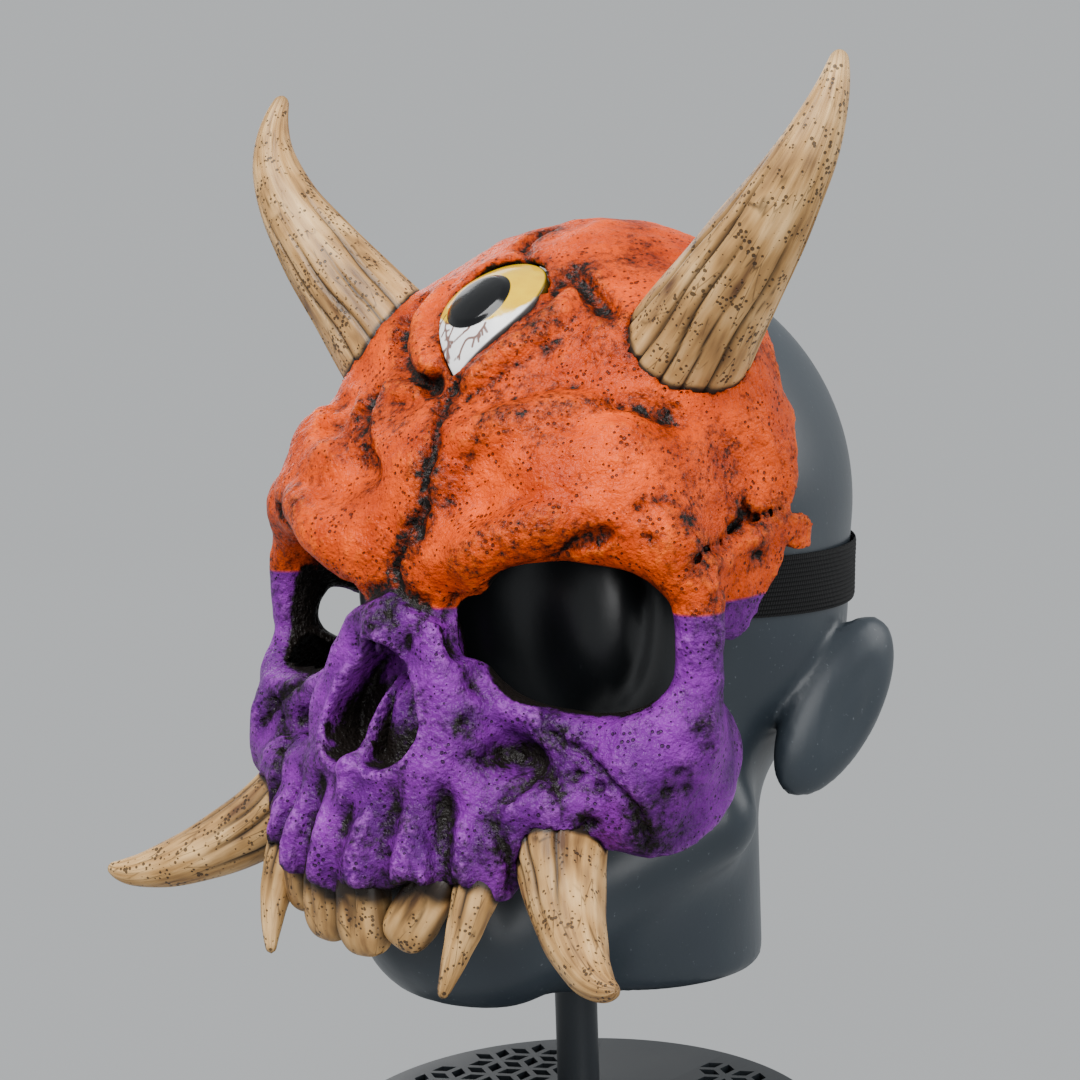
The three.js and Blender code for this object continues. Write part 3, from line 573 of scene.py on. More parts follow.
# Strokes on the bone: points, half width, height (negative cuts), softness, black wash, raggedness, both sides
strokes = [
    # forehead: the long suture under the eye, its spur, and the cracks over the crown
    ([(3, -53, 62), (1, -56, 58), (8, -68, 45), (9, -74, 37), (10, -76, 31), (10, -79, 23)],
     1.2, -2.0, 1.6, 0.8, 1.1, False),
    ([(10, -79, 23), (6, -81, 17), (3, -82, 11), (2, -82, 5), (3, -83, 2)], 1.3, -2.4, 1.6, 0.85, 1.2, False),
    ([(10, -79, 22), (11, -82, 15)], 1.5, -1.8, 1.5, 1, 0.6, False),
    ([(4, -22, 98), (1, -14, 103), (-7, -8, 106), (-6, 6, 109)], 1.6, -2.2, 2, 1, 1.0, False),
    # creases round the eye
    ([(-41, -22, 87), (-38, -35, 77), (-28, -44, 68), (-18, -50, 63), (-5, -54, 60)], 3.0, -3.0, 4, 0.9, 0.8, False),
    ([(4, -54, 61), (10, -50, 67), (19, -43, 74), (25, -38, 78), (29, -32, 84)], 1.8, -2.0, 2, 0.9, 0.4, False),
    ([(9, -55, 63), (18, -48, 71), (26, -41, 77), (30, -35, 84), (31, -27, 90)], 3.2, 2.2, 4, 0, 0.3, False),
    ([(-30, -22, 92), (-30, -35, 83), (-22, -45, 73), (-12, -51, 66)], 3.0, 1.6, 4, 0, 0.4, False),
    ([(-13, -54, 58), (-24, -50, 56), (-31, -45, 58)], 2.4, 1.4, 4, 0, 0.6, False),
    ([(27, -20, 94), (37, -23, 88), (47, -27, 82)], 2.6, -3.0, 3, 1, 0.6, False),
    ([(25, -17, 97), (22, -24, 95), (24, -30, 90)], 2.4, -2.2, 3, 0.9, 0.4, False),
    # valleys on the wearer's right of the forehead
    ([(-63, -38, 45), (-46, -46, 40), (-30, -60, 36), (-15, -73, 32)], 3.2, -1.5, 5, 0.7, 1.0, False),
    ([(-39, -47, 51), (-34, -51, 40), (-24, -63, 36), (-15, -73, 33)], 2.6, -2.6, 4, 1, 0.8, False),
    ([(21, -63, 39), (27, -56, 41), (39, -48, 44), (51, -43, 44), (62, -38, 47), (73, -30, 49)],
     2.0, -1.1, 4, 0.6, 0.8, False),
    ([(18, -66, 45), (30, -58, 47), (42, -50, 51), (54, -44, 52)], 5.0, 1.3, 6, 0, 0.6, False),
    ([(57, -68, 13), (62, -67, 16), (72, -62, 18)], 2.2, -3.4, 2.5, 1, 0.6, True),
    ([(30, -80, 10), (44, -74, 17), (58, -66, 22)], 5.0, 1.5, 6, 0, 0.4, True),
    # ledge of the brow over the nose
    ([(2, -84, -1), (10, -83, -4), (20, -81, -8), (31, -76, -9), (36, -73, -6)], 1.8, -2.4, 3, 0.1, 0.6, True),
    # temple crack with its raised lower lip, and the hole in the strap's flap
    ([(93, -46, 8), (92, -41, 12), (87, -25, 12), (88, -22, 15), (88, -16, 16), (88, -14, 21), (89, -9, 17),
      (89, -2, 18), (89, 3, 22)],
     1.5, -3.6, 1.3, 1, 1.6, True),
    ([(92, -38, 7), (89, -25, 7), (89, -14, 12), (90, -4, 12)], 2.8, 1.5, 3, 0, 0.8, True),
    ([(93, -42, -4), (92, -34, 4)], 2.0, -1.2, 2, 0.5, 0.4, True),
    # cheek cracks
    ([(53, -70, -35), (54, -73, -41), (63, -69, -47), (72, -70, -52), (79, -72, -55), (84, -69, -62),
      (85, -66, -70), (84, -61, -78)],
     1.1, -2.0, 1.2, 0.9, 1.0, False),
    ([(-58, -66, -36), (-56, -71, -40), (-69, -68, -49), (-76, -72, -56)], 1.2, -2.0, 1.3, 0.9, 1.2, False),
    ([(54, -76, -57), (52, -82, -61), (47, -87, -65), (46, -87, -71), (47, -86, -80), (48, -87, -88)],
     1.3, -1.8, 2, 0.8, 1.0, True),
    ([(54, -76, -57), (59, -76, -60), (61, -76, -64)], 1.3, -1.6, 2, 0.8, 0.9, True),
    # hollow under the socket, tear groove and the cracks of the nose
    ([(40, -80, -48), (48, -76, -50), (54, -74, -52)], 2.0, -1.4, 4, 0.25, 0.6, True),
    ([(33, -79, -22), (32, -80, -28), (37, -79, -33)], 2.4, -2.6, 3, 0.4, 0.4, True),
    ([(4, -85, -2), (4, -90, -9), (-2, -92, -14)], 0.9, -1.3, 1.2, 0.5, 0.6, False),
    ([(18, -80, -7), (15, -85, -10), (12, -87, -15), (9, -87, -19)], 0.9, -1.3, 1.2, 0.5, 0.5, False),
    ([(24, -80, -6), (27, -80, -14), (26, -81, -20)], 2.2, -1.4, 3, 0.3, 0.5, True),
    # flutes between the roots of the teeth, and thin ridges on the roots
    ([(16, -100, -62), (17, -106, -76), (17, -108, -92)], 2.0, -1.1, 4, 0.45, 0.5, True),
    ([(29, -94, -60), (33, -99, -74), (34, -99, -92)], 2.0, -1.3, 4, 0.5, 0.5, True),
    ([(0, -106, -66), (0, -112, -80), (-2, -113, -93)], 1.9, -1.1, 3, 0.6, 0.4, False),
    ([(9, -108, -68), (8, -113, -80), (9, -114, -92)], 1.8, 1.1, 3, 0, 0.6, True),
    ([(23, -101, -66), (25, -108, -80), (24, -110, -92)], 1.9, 1.1, 3, 0, 0.6, True),
    ([(39, -91, -70), (41, -98, -82), (41, -99, -90)], 1.9, 1.1, 3, 0, 0.6, True),
    # spine below the nose
    ([(-3, -100, -49), (-3, -104, -55), (-2, -107, -64)], 2.6, 1.8, 3, 0, 0.2, False),
]

pits = [
    # points on the forehead and the cheeks, each with its radius
    (16, -60, 48, 1.3), (24, -55, 46, 1.5), (67, -34, 32, 1.6), (62, -34, 26, 1.2), (77, -54, 25, 1.7),
    (82, -50, 26, 1.3), (83, -57, 17, 1.4), (88, -46, 20, 1.1), (89, -9, 6, 2.1), (-50, -62, 14, 1.5),
    (-44, -66, 17, 1.2), (96, -51, -41, 1.3), (93, -57, -53, 1.6), (90, -60, -59, 1.7), (93, -54, -59, 1.3),
    (65, -69, -56, 1.9), (74, -71, -58, 2.0), (67, -72, -68, 2.2), (38, -84, -51, 1.8), (34, -87, -39, 1.6),
    (62, -74, -61, 1.6), (-62, -69, -60, 1.7), (-70, -66, -48, 1.5), (-40, -82, -52, 1.7), (97, -48, -47, 1.2),
]

horns = {
    "line": [(58, -11, 62), (92, -17, 103), (126.6, -23, 128), (120.6, -6.5, 159.6)],
    "radii": (22, 2.2, 0.88),  # root, tip, taper
    "sides": 160, "rings": 170, "lobes": 4, "lobeDepth": 0.05, "seed": 4,
    # angle, end as a share of the length, depth, width
    "grooves": [(-1.75, 0.75, 1.5, 0.65), (-1.2, 0.5, 1.7, 0.6), (-0.75, 0.35, 1.1, 0.5), (-0.4, 0.6, 1.4, 0.6),
                (0.25, 0.8, 1.3, 0.6), (1.1, 0.5, 1.2, 0.6), (2.1, 0.7, 1.4, 0.65), (-2.3, 0.66, 1.3, 0.6),
                (3.0, 0.45, 1.2, 0.6), (-2.8, 0.3, 1.2, 0.6)],
}
tusks = {
    "line": [(52, -65.5, -70), (66.5, -85, -93), (100, -112.5, -108), (112.3, -112.3, -102)],
    "radii": (16.8, 1.4, 0.85),
    "sides": 120, "rings": 120, "lobes": 3, "lobeDepth": 0.06, "seed": 9,
    "grooves": [(-2.5, 0.6, 1.0, 0.8), (-1.9, 0.55, 1.0, 0.8), (-1.3, 0.5, 1.0, 0.8), (-0.6, 0.6, 0.8, 0.8),
                (0.4, 0.5, 0.8, 0.8), (1.6, 0.5, 0.8, 0.8)],
}
canines = {
    "line": [(41, -86, -78), (43, -96, -92), (42, -103, -106), (38, -107, -121)],
    "radii": (9.6, 1.3, 0.8),
    "sides": 48, "rings": 60, "lobes": 2, "lobeDepth": 0.08, "seed": 13,
    "grooves": [(-1.9, 0.7, 0.6, 0.6), (-1.1, 0.6, 0.6, 0.6), (0.6, 0.6, 0.5, 0.6)],
}


def spikeForm(p, line, radii, grow):
    t = np.linspace(0, 1, 13)
    middle = bezier(line, t)
    radius = radii[1] + (radii[0] - radii[1]) * (1 - t) ** radii[2] + grow
    return chain(p, middle, radius)


eyeMiddle = np.array([0, -32.5, 80])
eyeSlope = math.radians(44)  # the eye's own axis rises this much from straight ahead
eyeUp = np.array([0, math.sin(eyeSlope), math.cos(eyeSlope)])
eyeOut = np.array([0, -math.cos(eyeSlope), math.sin(eyeSlope)])


def toEye(points):
    # place in the eye's own frame: across, up along its face, and out of it
    p = np.asarray(points, float) - eyeMiddle
    return np.stack([p[..., 0], p @ eyeUp, p @ eyeOut], axis=-1)


def eyeOutline(grow, count=160):
    tall, wide = 25 + grow, 18.5 + grow
    half = [[(0, -tall), (wide * 0.75, -tall * 0.45), (wide * 1.05, -tall * 0.05), (wide, tall * 0.35)],
            [(wide, tall * 0.35), (wide * 0.9, tall * 0.85), (wide * 0.45, tall), (0, tall)]]
    right = []
    for points in half:
        right += list(bezier(points, np.linspace(0, 1, count // 4 + 1)[:-1]))
    right = np.array(right + [(0, tall)])
    left = right[-2:0:-1] * [-1, 1]
    return np.concatenate([right, left])


def sculptMask():
    grid = Grid((-100.9, -117, -99), (100.9, 48, 115), mask["step"])
    half = grid.points(folded=True)
    d = skullForm(half).astype(np.float32)
    plain = grid.unfold(d)
    # worked surface: broad lumps, smaller dents, and lengthwise ones on the upper jaw
    d = plain + 0.9 * grid.lumps((17, 17, 15), 3) + 0.6 * grid.lumps((7, 7, 6), 5)
    d = d + 0.3 * grid.lumps((3.4, 3.4, 3.4), 8)
    p = grid.points()
    jaw = bump01(-40, -66, p[2]) * bump01(-70, -84, p[1])
    d = d + jaw * 0.6 * grid.lumps((5, 9, 26), 11)
    # raised rim round the nose opening, then the opening with its thin dividing wall
    fold = [np.abs(p[0]), p[1], p[2]]
    pear = nosePear(fold)
    front = bump01(-74, -84, p[1])
    d = d - front * 1.8 * np.exp(-((pear - 1.6) / 2.2) ** 2)
    # its floor: a worked slope on the wearer's left of the wall, a deep slot on the right of it
    shallow = 88 - 0.09 * np.minimum(np.abs(p[0] - 8), 9) ** 2
    floor = p[1] + np.where(p[0] > -1.2, shallow, 77) - 0.3 * (p[2] + 36) + 1.6 * grid.lumps((3.4, 6, 9), 17)
    hole = np.maximum(pear - 0.8 + 0.5 * grid.lumps((6, 6, 6), 19), floor)
    wallMiddle = p[0] + 1.2 + 0.05 * (p[2] + 22)
    wall = np.maximum(np.abs(wallMiddle) - 1.0, -90.5 - p[1] + 0.26 * (p[2] + 22))
    hole = np.maximum(hole, -wall)
    d = carve(d, hole, 1.6)
    d = d.astype(np.float32)
    # strokes and pits, each drawn onto the bone as it stands
    random = np.random.default_rng(21)
    soot = np.full(d.shape, 30, np.float32)  # distance to the nearest wash-filled crack
    base = d.copy()
    for points, radius, height, soft, washShare, ragged, both in strokes:
        line = divided(points, 3.2)
        for side in ((1, -1) if both else (1,)):
            jitter = random.normal(0, 1, line.shape) * ragged * 0.6
            jitter[0] = jitter[-1] = 0
            bent = grid.settle(base, line * [side, 1, 1] + jitter, 5)
            slope = grid.slope(base, bent)
            normal = slope / np.linalg.norm(slope, axis=1)[:, None]
            lift = radius + height if height < 0 else height - radius
            widths = radius * (1 + 0.25 * random.uniform(-1, 1, len(bent)) * min(1, ragged))
            ends = np.sin(np.linspace(0.25, math.pi - 0.25, len(bent))) ** 0.5
            widths = widths * (0.45 + 0.55 * ends)
            middle = bent + normal * lift
            for i in range(len(bent) - 1):
                low = np.minimum(middle[i], middle[i + 1]) - (radius + 9)
                high = np.maximum(middle[i], middle[i + 1]) + (radius + 9)
                window = grid.window(low, high)
                q = grid.points(window)
                tube = rod(q, middle[i], middle[i + 1], widths[i], widths[i + 1]).astype(np.float32)
                d[window] = carve(d[window], tube, soft) if height < 0 else blend(d[window], tube, soft)
                if washShare:
                    soot[window] = np.minimum(soot[window], tube + (1 - washShare) * 4)
    for x, y, z, radius in pits:
        at = grid.settle(base, [[x, y, z]], 5)[0]
        window = grid.window(at - radius - 8, at + radius + 8)
        q = grid.points(window)
        tube = ball(q, at, (radius * 1.1, radius * 1.6, radius)).astype(np.float32)
        d[window] = carve(d[window], tube, 1.2)
        soot[window] = np.minimum(soot[window], tube + 0.6)
    outer = d.copy()
    # eye sockets with rounded, uneven rims
    socket = grid.unfold(socketForm(half).astype(np.float32)) + 1.1 * grid.lumps((13, 13, 13), 31)
    d = carve(d, socket, 3.5)
    # broken edge at the temples, strap flap, cheek plate and gum
    edge = insideOutline(p[1], p[2], sideOutline())
    broken = 0.3 + 0.7 * bump01(-30, -10, p[2])
    edge = edge + broken * (1.4 * grid.lumps((7, 5, 5), 41) + 0.7 * grid.lumps((4, 2.6, 2.6), 43))
    d = np.maximum(d, edge)
    # gum: an arch over each tooth and a point between two
    gumEdge = np.interp(p[0], mask["gumAcross"], mask["gumHeight"]) + 0.5 * grid.lumps((4, 4, 4), 47)
    below = np.maximum(p[2] - gumEdge, p[1] + 72)
    d = carve(d, below.astype(np.float32), 2.5)
    soot = np.minimum(soot, (1.1 * np.maximum(below, 0) - 1).astype(np.float32) + 8 * (below < -1))
    shaped = d.copy()
    # seats of the horns, tusks and eye
    seam = mask["seam"]
    for side in (1, -1):
        for shape in (horns, tusks):
            turned = [(x * side, y, z) for x, y, z in shape["line"]]
            reach = shape["radii"][0] + 12
            ends = np.array([turned[0], turned[1]])
            window = grid.window(ends.min(axis=0) - reach, ends.max(axis=0) + reach)
            form = spikeForm(grid.points(window), turned, shape["radii"], -0.8).astype(np.float32)
            d[window] = np.maximum(d[window], -form)
            soot[window] = np.minimum(soot[window], np.abs(form) + 1.6)
    window = grid.window((-26, -66, 48), (26, 0, 112))
    q = np.stack(np.broadcast_arrays(*grid.points(window)), axis=-1)
    own = toEye(q)
    flat = insideOutline(own[..., 0], own[..., 1], eyeOutline(seam))
    socketOfEye = np.maximum(flat, -own[..., 2] - 8)
    d[window] = carve(d[window], socketOfEye.astype(np.float32), 1.5)
    soot[window] = np.minimum(soot[window], np.abs(flat) + 0.8)
    # the wall: inside form off the outside, with room for the head
    inner = np.maximum(grid.unfold(innerForm(half).astype(np.float32)), outer) + mask["wall"]
    inner = np.minimum(inner, grid.unfold(headForm(half).astype(np.float32)) - mask["headGap"])
    d = np.maximum(d, -inner)
    print("mask: sculpted", d.shape)
    corners, faces = skinOf(d, grid)
    small = grid.sample(blurred(shaped, 2), corners) - grid.sample(shaped, corners)
    broad = grid.sample(blurred(shaped, 6), corners) - grid.sample(shaped, corners)
    depth = -grid.sample(outer, corners)
    near = grid.sample(soot, corners)
    sunk = -grid.sample(plain, corners)
    slope = grid.slope(d, corners)
    toHead = np.array([0, 25, -15]) - corners
    facing = (slope * toHead).sum(axis=1) / np.linalg.norm(slope, axis=1) / np.linalg.norm(toHead, axis=1)
    found = {"small": small, "broad": broad, "depth": depth, "soot": near, "sunk": sunk, "facing": facing}
    return corners, faces, found, (grid, shaped)


corners, faces, found, (boneGrid, boneForm) = sculptMask()
shell = meshPiece("mask_shell_cast", corners, faces, paintOfMask)
crackDark = bump01(0.7, -0.8, found["soot"])
halo = 0.42 * bump01(6.5, -0.5, found["soot"])
# black wash settled in fine creases, and painted shade over wide valleys
creaseWashAndShade = 0.55 * bump01(-0.14, -0.6, found["small"]) + 0.22 * bump01(-0.8, -2.8, found["broad"])
# dark on the inside of the shell and on the socket walls, and painted shade in the nose opening and other hollows
# that sink far below the plain bone
inside = 1.2 * np.maximum(bump01(1.5, 2.8, found["depth"]), 0.8 * bump01(3, 7, found["sunk"]))
inside = np.maximum(inside, 1.2 * bump01(0.1, 0.4, found["facing"]))
giveValues(shell, "wash", np.maximum.reduce([crackDark, halo, creaseWashAndShade, inside]))
giveValues(shell, "worn", bump01(0.1, 0.6, found["small"]) * 0.7 + 0.25 * bump01(0.6, 2.6, found["broad"]))
paintLine = mask["paintLevel"] + 6 * np.exp(-(corners[:, 0] / 9) ** 2)
giveValues(shell, "paintEdge", corners[:, 2] - paintLine)
standFor(shell, ["mask_shell"])


def wobble(turn, t, seed, waves=9, most=5):
    # smooth uneven radius, the same after a full turn
    random = np.random.default_rng(seed)
    total = 0
    for _ in range(waves):
        around, along = random.integers(1, most), random.uniform(0.5, 5)
        share, start = random.uniform(0.5, 1), random.uniform(0, 6.28)
        total = total + share * np.sin(around * turn + along * 2 * math.pi * t + start)
    return total / waves


def darkAtRoot(places, reach=1.6, full=0.2):
    # wash lies where a piece leaves the bone
    return bump01(reach, full, boneGrid.sample(boneForm, places))


def spike(shape, side):
    root, tip, taper = shape["radii"]
    sides, rings = shape["sides"], shape["rings"]
    line = [(x * side, y, z) for x, y, z in shape["line"]]
    t = np.linspace(0, 1, rings + 1)
    middle = bezier(line, t)
    along = np.gradient(middle, axis=0)
    along /= np.linalg.norm(along, axis=1)[:, None]
    across = np.cross([0, 1, 0], along)
    across /= np.linalg.norm(across, axis=1)[:, None]
    up = np.cross(along, across)
    run = np.concatenate([[0], np.cumsum(np.linalg.norm(np.diff(middle, axis=0), axis=1))])
    turn = np.linspace(0, 2 * math.pi, sides, endpoint=False)[None, :]
    share = t[:, None]
    plain = tip + (root - tip) * (1 - share) ** taper
    hollow = 0.5 - 0.5 * np.cos(shape["lobes"] * turn)
    lobes = 1 - shape["lobeDepth"] * bump01(0.1, 0.35, share) * (1 - share) * hollow
    radius = plain * lobes + plain * 0.05 * wobble(turn, share, shape["seed"]) - 0.1
    wash = np.zeros_like(radius)
    for at, end, depth, width in shape["grooves"]:
        drift = 0.1 * np.sin(5 * share + at * 3) + 0.03 * np.sin(23 * share + at)
        away = np.abs((turn - at - drift + math.pi) % (2 * math.pi) - math.pi) * plain
        fade = bump01(end, end * 0.55, share)
        cut = np.exp(-(away / width) ** 2) * fade
        radius = radius - depth * cut
        wash = np.maximum(wash, np.exp(-(away / (width * 1.15)) ** 2) * fade)
        wash = np.maximum(wash, 0.3 * np.exp(-(away / (width * 4)) ** 2) * fade)
    left = np.maximum(run[-1] - run, 0)[:, None]
    close = np.sqrt(np.clip(1 - (1 - np.clip(left / (tip * 1.2), 0, 1)) ** 2, 0, 1))
    radius = radius * close
    ring = middle[:, None, :] + radius[..., None] * (np.cos(turn)[..., None] * across[:, None, :]
                                                      + np.sin(turn)[..., None] * up[:, None, :])
    corners = ring[:-1].reshape(-1, 3)
    corners = np.concatenate([corners, [middle[-1]], [middle[0]]])
    faces = tubeFaces(rings, sides, len(corners) - 1, len(corners) - 2)
    grain = np.stack([np.cos(turn) * root + 0 * share, np.sin(turn) * root + 0 * share, run[:, None] / 5 + 0 * turn],
                     axis=-1)[:-1].reshape(-1, 3) * 0.001
    grain = np.concatenate([grain, grain[-1:], grain[:1]])
    tipDark = 0.35 * bump01(0.93, 1, share)
    dark = np.maximum(wash, tipDark + 0 * turn)[:-1].reshape(-1)
    dark = np.maximum(np.concatenate([dark, [0.3, 1]]), darkAtRoot(corners))
    return corners, faces, grain, dark


for label, side in (("left", 1), ("right", -1)):
    for kind, shape in (("horn", horns), ("tusk", tusks)):
        corners, faces, grain, dark = spike(shape, side)
        piece = meshPiece(f"{kind}_{label}_cast", corners, faces, paintOfBone)
        giveValues(piece, "grain", grain)
        giveValues(piece, "wash", dark)
        standFor(piece, [f"{kind}_{label}"])

teeth = {
    "thickness": 13.5, "squareness": 0.68,
    # at, width, height, lean and turn in degrees, from the wearer's right to the left
    "front": [((-29.5, -98, -92), 13.5, 30, -4, -24), ((-12.5, -103.5, -96), 17.5, 33, 2, -4),
              ((4.2, -105, -97), 18, 34, -2, 3), ((24.5, -100, -96), 16.5, 31, 33, 20)],
}


def squared(value):
    return np.sign(value) * np.abs(value) ** teeth["squareness"]


def frontTooth(at, width, height, lean, turn, seed):
    random = np.random.default_rng(seed)
    columns, rows = 64, 44
    down = np.linspace(0, math.pi, rows + 1)[1:-1, None]
    around = np.linspace(0, 2 * math.pi, columns, endpoint=False)[None, :]
    z = squared(np.cos(down)) + 0 * around
    x = squared(np.sin(down)) * squared(np.cos(around)) * (1 - 0.12 * z)
    y = squared(np.sin(down)) * squared(np.sin(around))
    wash = np.zeros_like(x)
    for _ in range(3):
        middle = random.uniform(-0.6, 0.6)
        away = np.abs(x - middle - 0.06 * np.sin(4 * z + middle * 9)) * width / 2
        fade = bump01(-0.75, 0.1, z)
        cut = np.exp(-(away / 0.7) ** 2) * fade * (y < 0)
        y = y + 0.1 * cut
        wash = np.maximum(wash, 0.8 * cut)
    lumps = 1 + 0.05 * wobble(around, z * 0.5, seed, 9, 6)
    local = np.stack([x * width / 2 * lumps, y * teeth["thickness"] / 2 * lumps, z * height / 2], axis=-1)
    local = local.reshape(-1, 3)
    local = np.concatenate([local, [(0, 0, height / 2), (0, 0, -height / 2)]])
    a, b = math.radians(lean), math.radians(turn)
    leaning = np.array([[math.cos(a), 0, math.sin(a)], [0, 1, 0], [-math.sin(a), 0, math.cos(a)]])
    turning = np.array([[math.cos(b), -math.sin(b), 0], [math.sin(b), math.cos(b), 0], [0, 0, 1]])
    places = local @ (turning @ leaning).T + np.array(at)
    faces = tubeFaces(rows - 1, columns, len(places) - 2, len(places) - 1, flip=True)
    gum = darkAtRoot(places, 8, 2.8)
    sides = 0.7 * bump01(0.72, 1.0, np.abs(local[:, 0]) / (width / 2))
    dark = np.maximum.reduce([np.concatenate([wash.ravel(), [1, 0.2]]), gum, sides])
    grain = np.stack([local[:, 0], local[:, 1], local[:, 2] / 5], axis=1) * 0.001
    return places, faces, grain, dark


parts = [frontTooth(*tooth, seed=50 + i) for i, tooth in enumerate(teeth["front"])]
parts += [spike(canines, side) for side in (1, -1)]
corners, faces, grain, dark = [], [], [], []
for places, sides, threads, shade in parts:
    start = sum(len(c) for c in corners)
    corners.append(places)
    faces += [tuple(start + v for v in face) for face in sides]
    grain.append(threads)
    dark.append(shade)
dentition = meshPiece("teeth_cast", np.concatenate(corners), faces, paintOfBone)
giveValues(dentition, "grain", np.concatenate(grain))
giveValues(dentition, "wash", np.concatenate(dark))
standFor(dentition, [])


eye = {
    "ballRadius": 40, "bulge": 9, "depth": 7,
    "pupil": (-1.6, 2.6, 12.0, 12.2),  # across, up, half width, half height
    "iris": (-2.0, 13.0, 21.5),  # across, up, radius
}


def eyeEnamel():
    # Gloss enamel on a cast eye: white below, yellow iris, black pupil that stands a little proud, and
    # thin brown veins painted on the white. The clear gloss over it gives hard small highlights.
    material, add, surface = newMaterial("gloss enamel on cast resin", 0.16, 1.5)
    giveInputs(surface, {"Specular IOR Level": 0.3, "Coat Weight": 0.15, "Coat Roughness": 0.06})
    place = add("TexCoord").outputs["Object"]
    iris = add("Attribute", attribute_name="iris").outputs["Fac"]
    pupil = add("Attribute", attribute_name="pupil").outputs["Fac"]
    vein = add("Attribute", attribute_name="vein").outputs["Fac"]
    rim = add("Attribute", attribute_name="rim").outputs["Fac"]
    brush = add("TexNoise", {"Vector": place, "Scale": perMetre(5), "Detail": 5.0})
    ragged = add("Math", {0: brush, 1: 3.0, 2: iris}, operation="MULTIPLY_ADD")
    irisMask = add("MapRange", {"Value": ragged, "From Min": 1.1, "From Max": 2.0, "To Min": 1.0, "To Max": 0.0})
    yellow = add("Mix", {0: brush, 6: "#d09c00", 7: "#ecc600"}, data_type="RGBA")
    white = add("Mix", {0: brush, 6: "#dfe0e2", 7: "#fbfaf8"}, data_type="RGBA")
    base = add("Mix", {0: irisMask, 6: white, 7: yellow}, data_type="RGBA")
    veins = add("MapRange", {"Value": vein, "From Min": 0.28, "From Max": 0.55, "To Min": 0.9, "To Max": 0.0})
    veined = add("Mix", {0: veins, 6: base, 7: "#5e2c16"}, data_type="RGBA")
    black = add("MapRange", {"Value": pupil, "From Min": -0.15, "From Max": 0.15, "To Min": 1.0, "To Max": 0.0})
    withPupil = add("Mix", {0: black, 6: veined, 7: "#07080a"}, data_type="RGBA")
    border = add("MapRange", {"Value": rim, "From Min": 0.1, "From Max": 0.7, "To Min": 0.9, "To Max": 0.0})
    colour = add("Mix", {0: border, 6: withPupil, 7: "#141110"}, data_type="RGBA")
    relief = add("Bump", {"Height": brush, "Strength": 0.25, "Distance": 0.0004})
    giveInputs(surface, {"Base Color": colour, "Normal": relief})
    return material


def veinLines():
    random = np.random.default_rng(6)
    lines = []
    for start, aim in (((-11, -6), -72), ((-5.5, -9), -90), ((2, -9), -98), ((7.5, -7), -108), ((-13, -3), -76)):
        at, heading = np.array(start, float), math.radians(aim)
        for _ in range(13):
            heading += random.normal(0, 0.38)
            heading += 0.25 * (math.radians(aim) - heading)
            step = at + 1.2 * np.array([math.cos(heading), math.sin(heading)])
            lines.append((at.copy(), step.copy()))
            if random.uniform() < 0.35:
                fork = heading + random.choice([-0.8, 0.8])
                twig = step + random.uniform(1.5, 3) * np.array([math.cos(fork), math.sin(fork)])
                lines.append((step.copy(), twig))
            at = step
    return lines


def buildEye():
    outline = eyeOutline(0, 240)
    rings = 46
    shares = np.concatenate([np.linspace(0, 1, rings)[1:] ** 0.9, [1, 1, 1]])
    middle = np.array([0, 3.0])
    flat = middle + (outline[None] - middle) * shares[:, None, None]
    ballRadius, bulge = eye["ballRadius"], eye["bulge"]
    off = (flat ** 2).sum(axis=-1)
    out = np.sqrt(ballRadius ** 2 - off) + bulge - ballRadius
    for k, drop in enumerate((0.25, 0.8, eye["depth"])):
        out[len(shares) - 3 + k] -= drop
    flat[-4] = middle + (outline - middle) * 0.985
    out[-4] = np.sqrt(ballRadius ** 2 - (flat[-4] ** 2).sum(axis=-1)) + bulge - ballRadius
    px, py, pw, ph = eye["pupil"]
    tilt = math.radians(14)
    dx, dy = flat[..., 0] - px, flat[..., 1] - py
    u, v = math.cos(tilt) * dx + math.sin(tilt) * dy, -math.sin(tilt) * dx + math.cos(tilt) * dy
    pupil = (np.sqrt((u / pw) ** 2 + (v / ph) ** 2) - 1) * ph
    out = out + 0.9 * bump01(0.3, -2.5, pupil)
    ix, iy, ir = eye["iris"]
    iris = np.hypot(flat[..., 0] - ix, flat[..., 1] - iy) - ir
    vein = np.full(iris.shape, 9.0)
    for start, end in veinLines():
        span = end - start
        t = np.clip(((flat - start) @ span) / (span @ span), 0, 1)
        vein = np.minimum(vein, np.linalg.norm(flat - start - t[..., None] * span, axis=-1))
    rim = -insideOutline(flat[..., 0], flat[..., 1], outline)
    own = np.concatenate([flat, out[..., None]], axis=-1).reshape(-1, 3)
    centre = [middle[0], middle[1], math.sqrt(ballRadius ** 2 - middle[1] ** 2) + bulge - ballRadius + 0.9]
    own = np.concatenate([own, [centre], [[0, 3.0, out[-1].min()]]])
    places = eyeMiddle + own @ np.array([(1, 0, 0), eyeUp, eyeOut])
    faces = tubeFaces(len(shares), outline.shape[0], len(places) - 2, len(places) - 1, flip=True)
    values = {"iris": iris, "pupil": pupil, "vein": vein, "rim": rim}
    values = {key: np.concatenate([value.ravel(), [value.ravel()[0], 0]]) for key, value in values.items()}
    return places, faces, values


corners, faces, values = buildEye()
thirdEye = meshPiece("third_eye_enamelled", corners, faces, eyeEnamel())
for key, value in values.items():
    giveValues(thirdEye, key, value)
standFor(thirdEye, ["third_eye"])


displayHead = {
    "step": 2.3,
    "ear": {"at": (74, 54, -55), "size": (9, 19, 35), "lean": 42, "turn": 12},
}


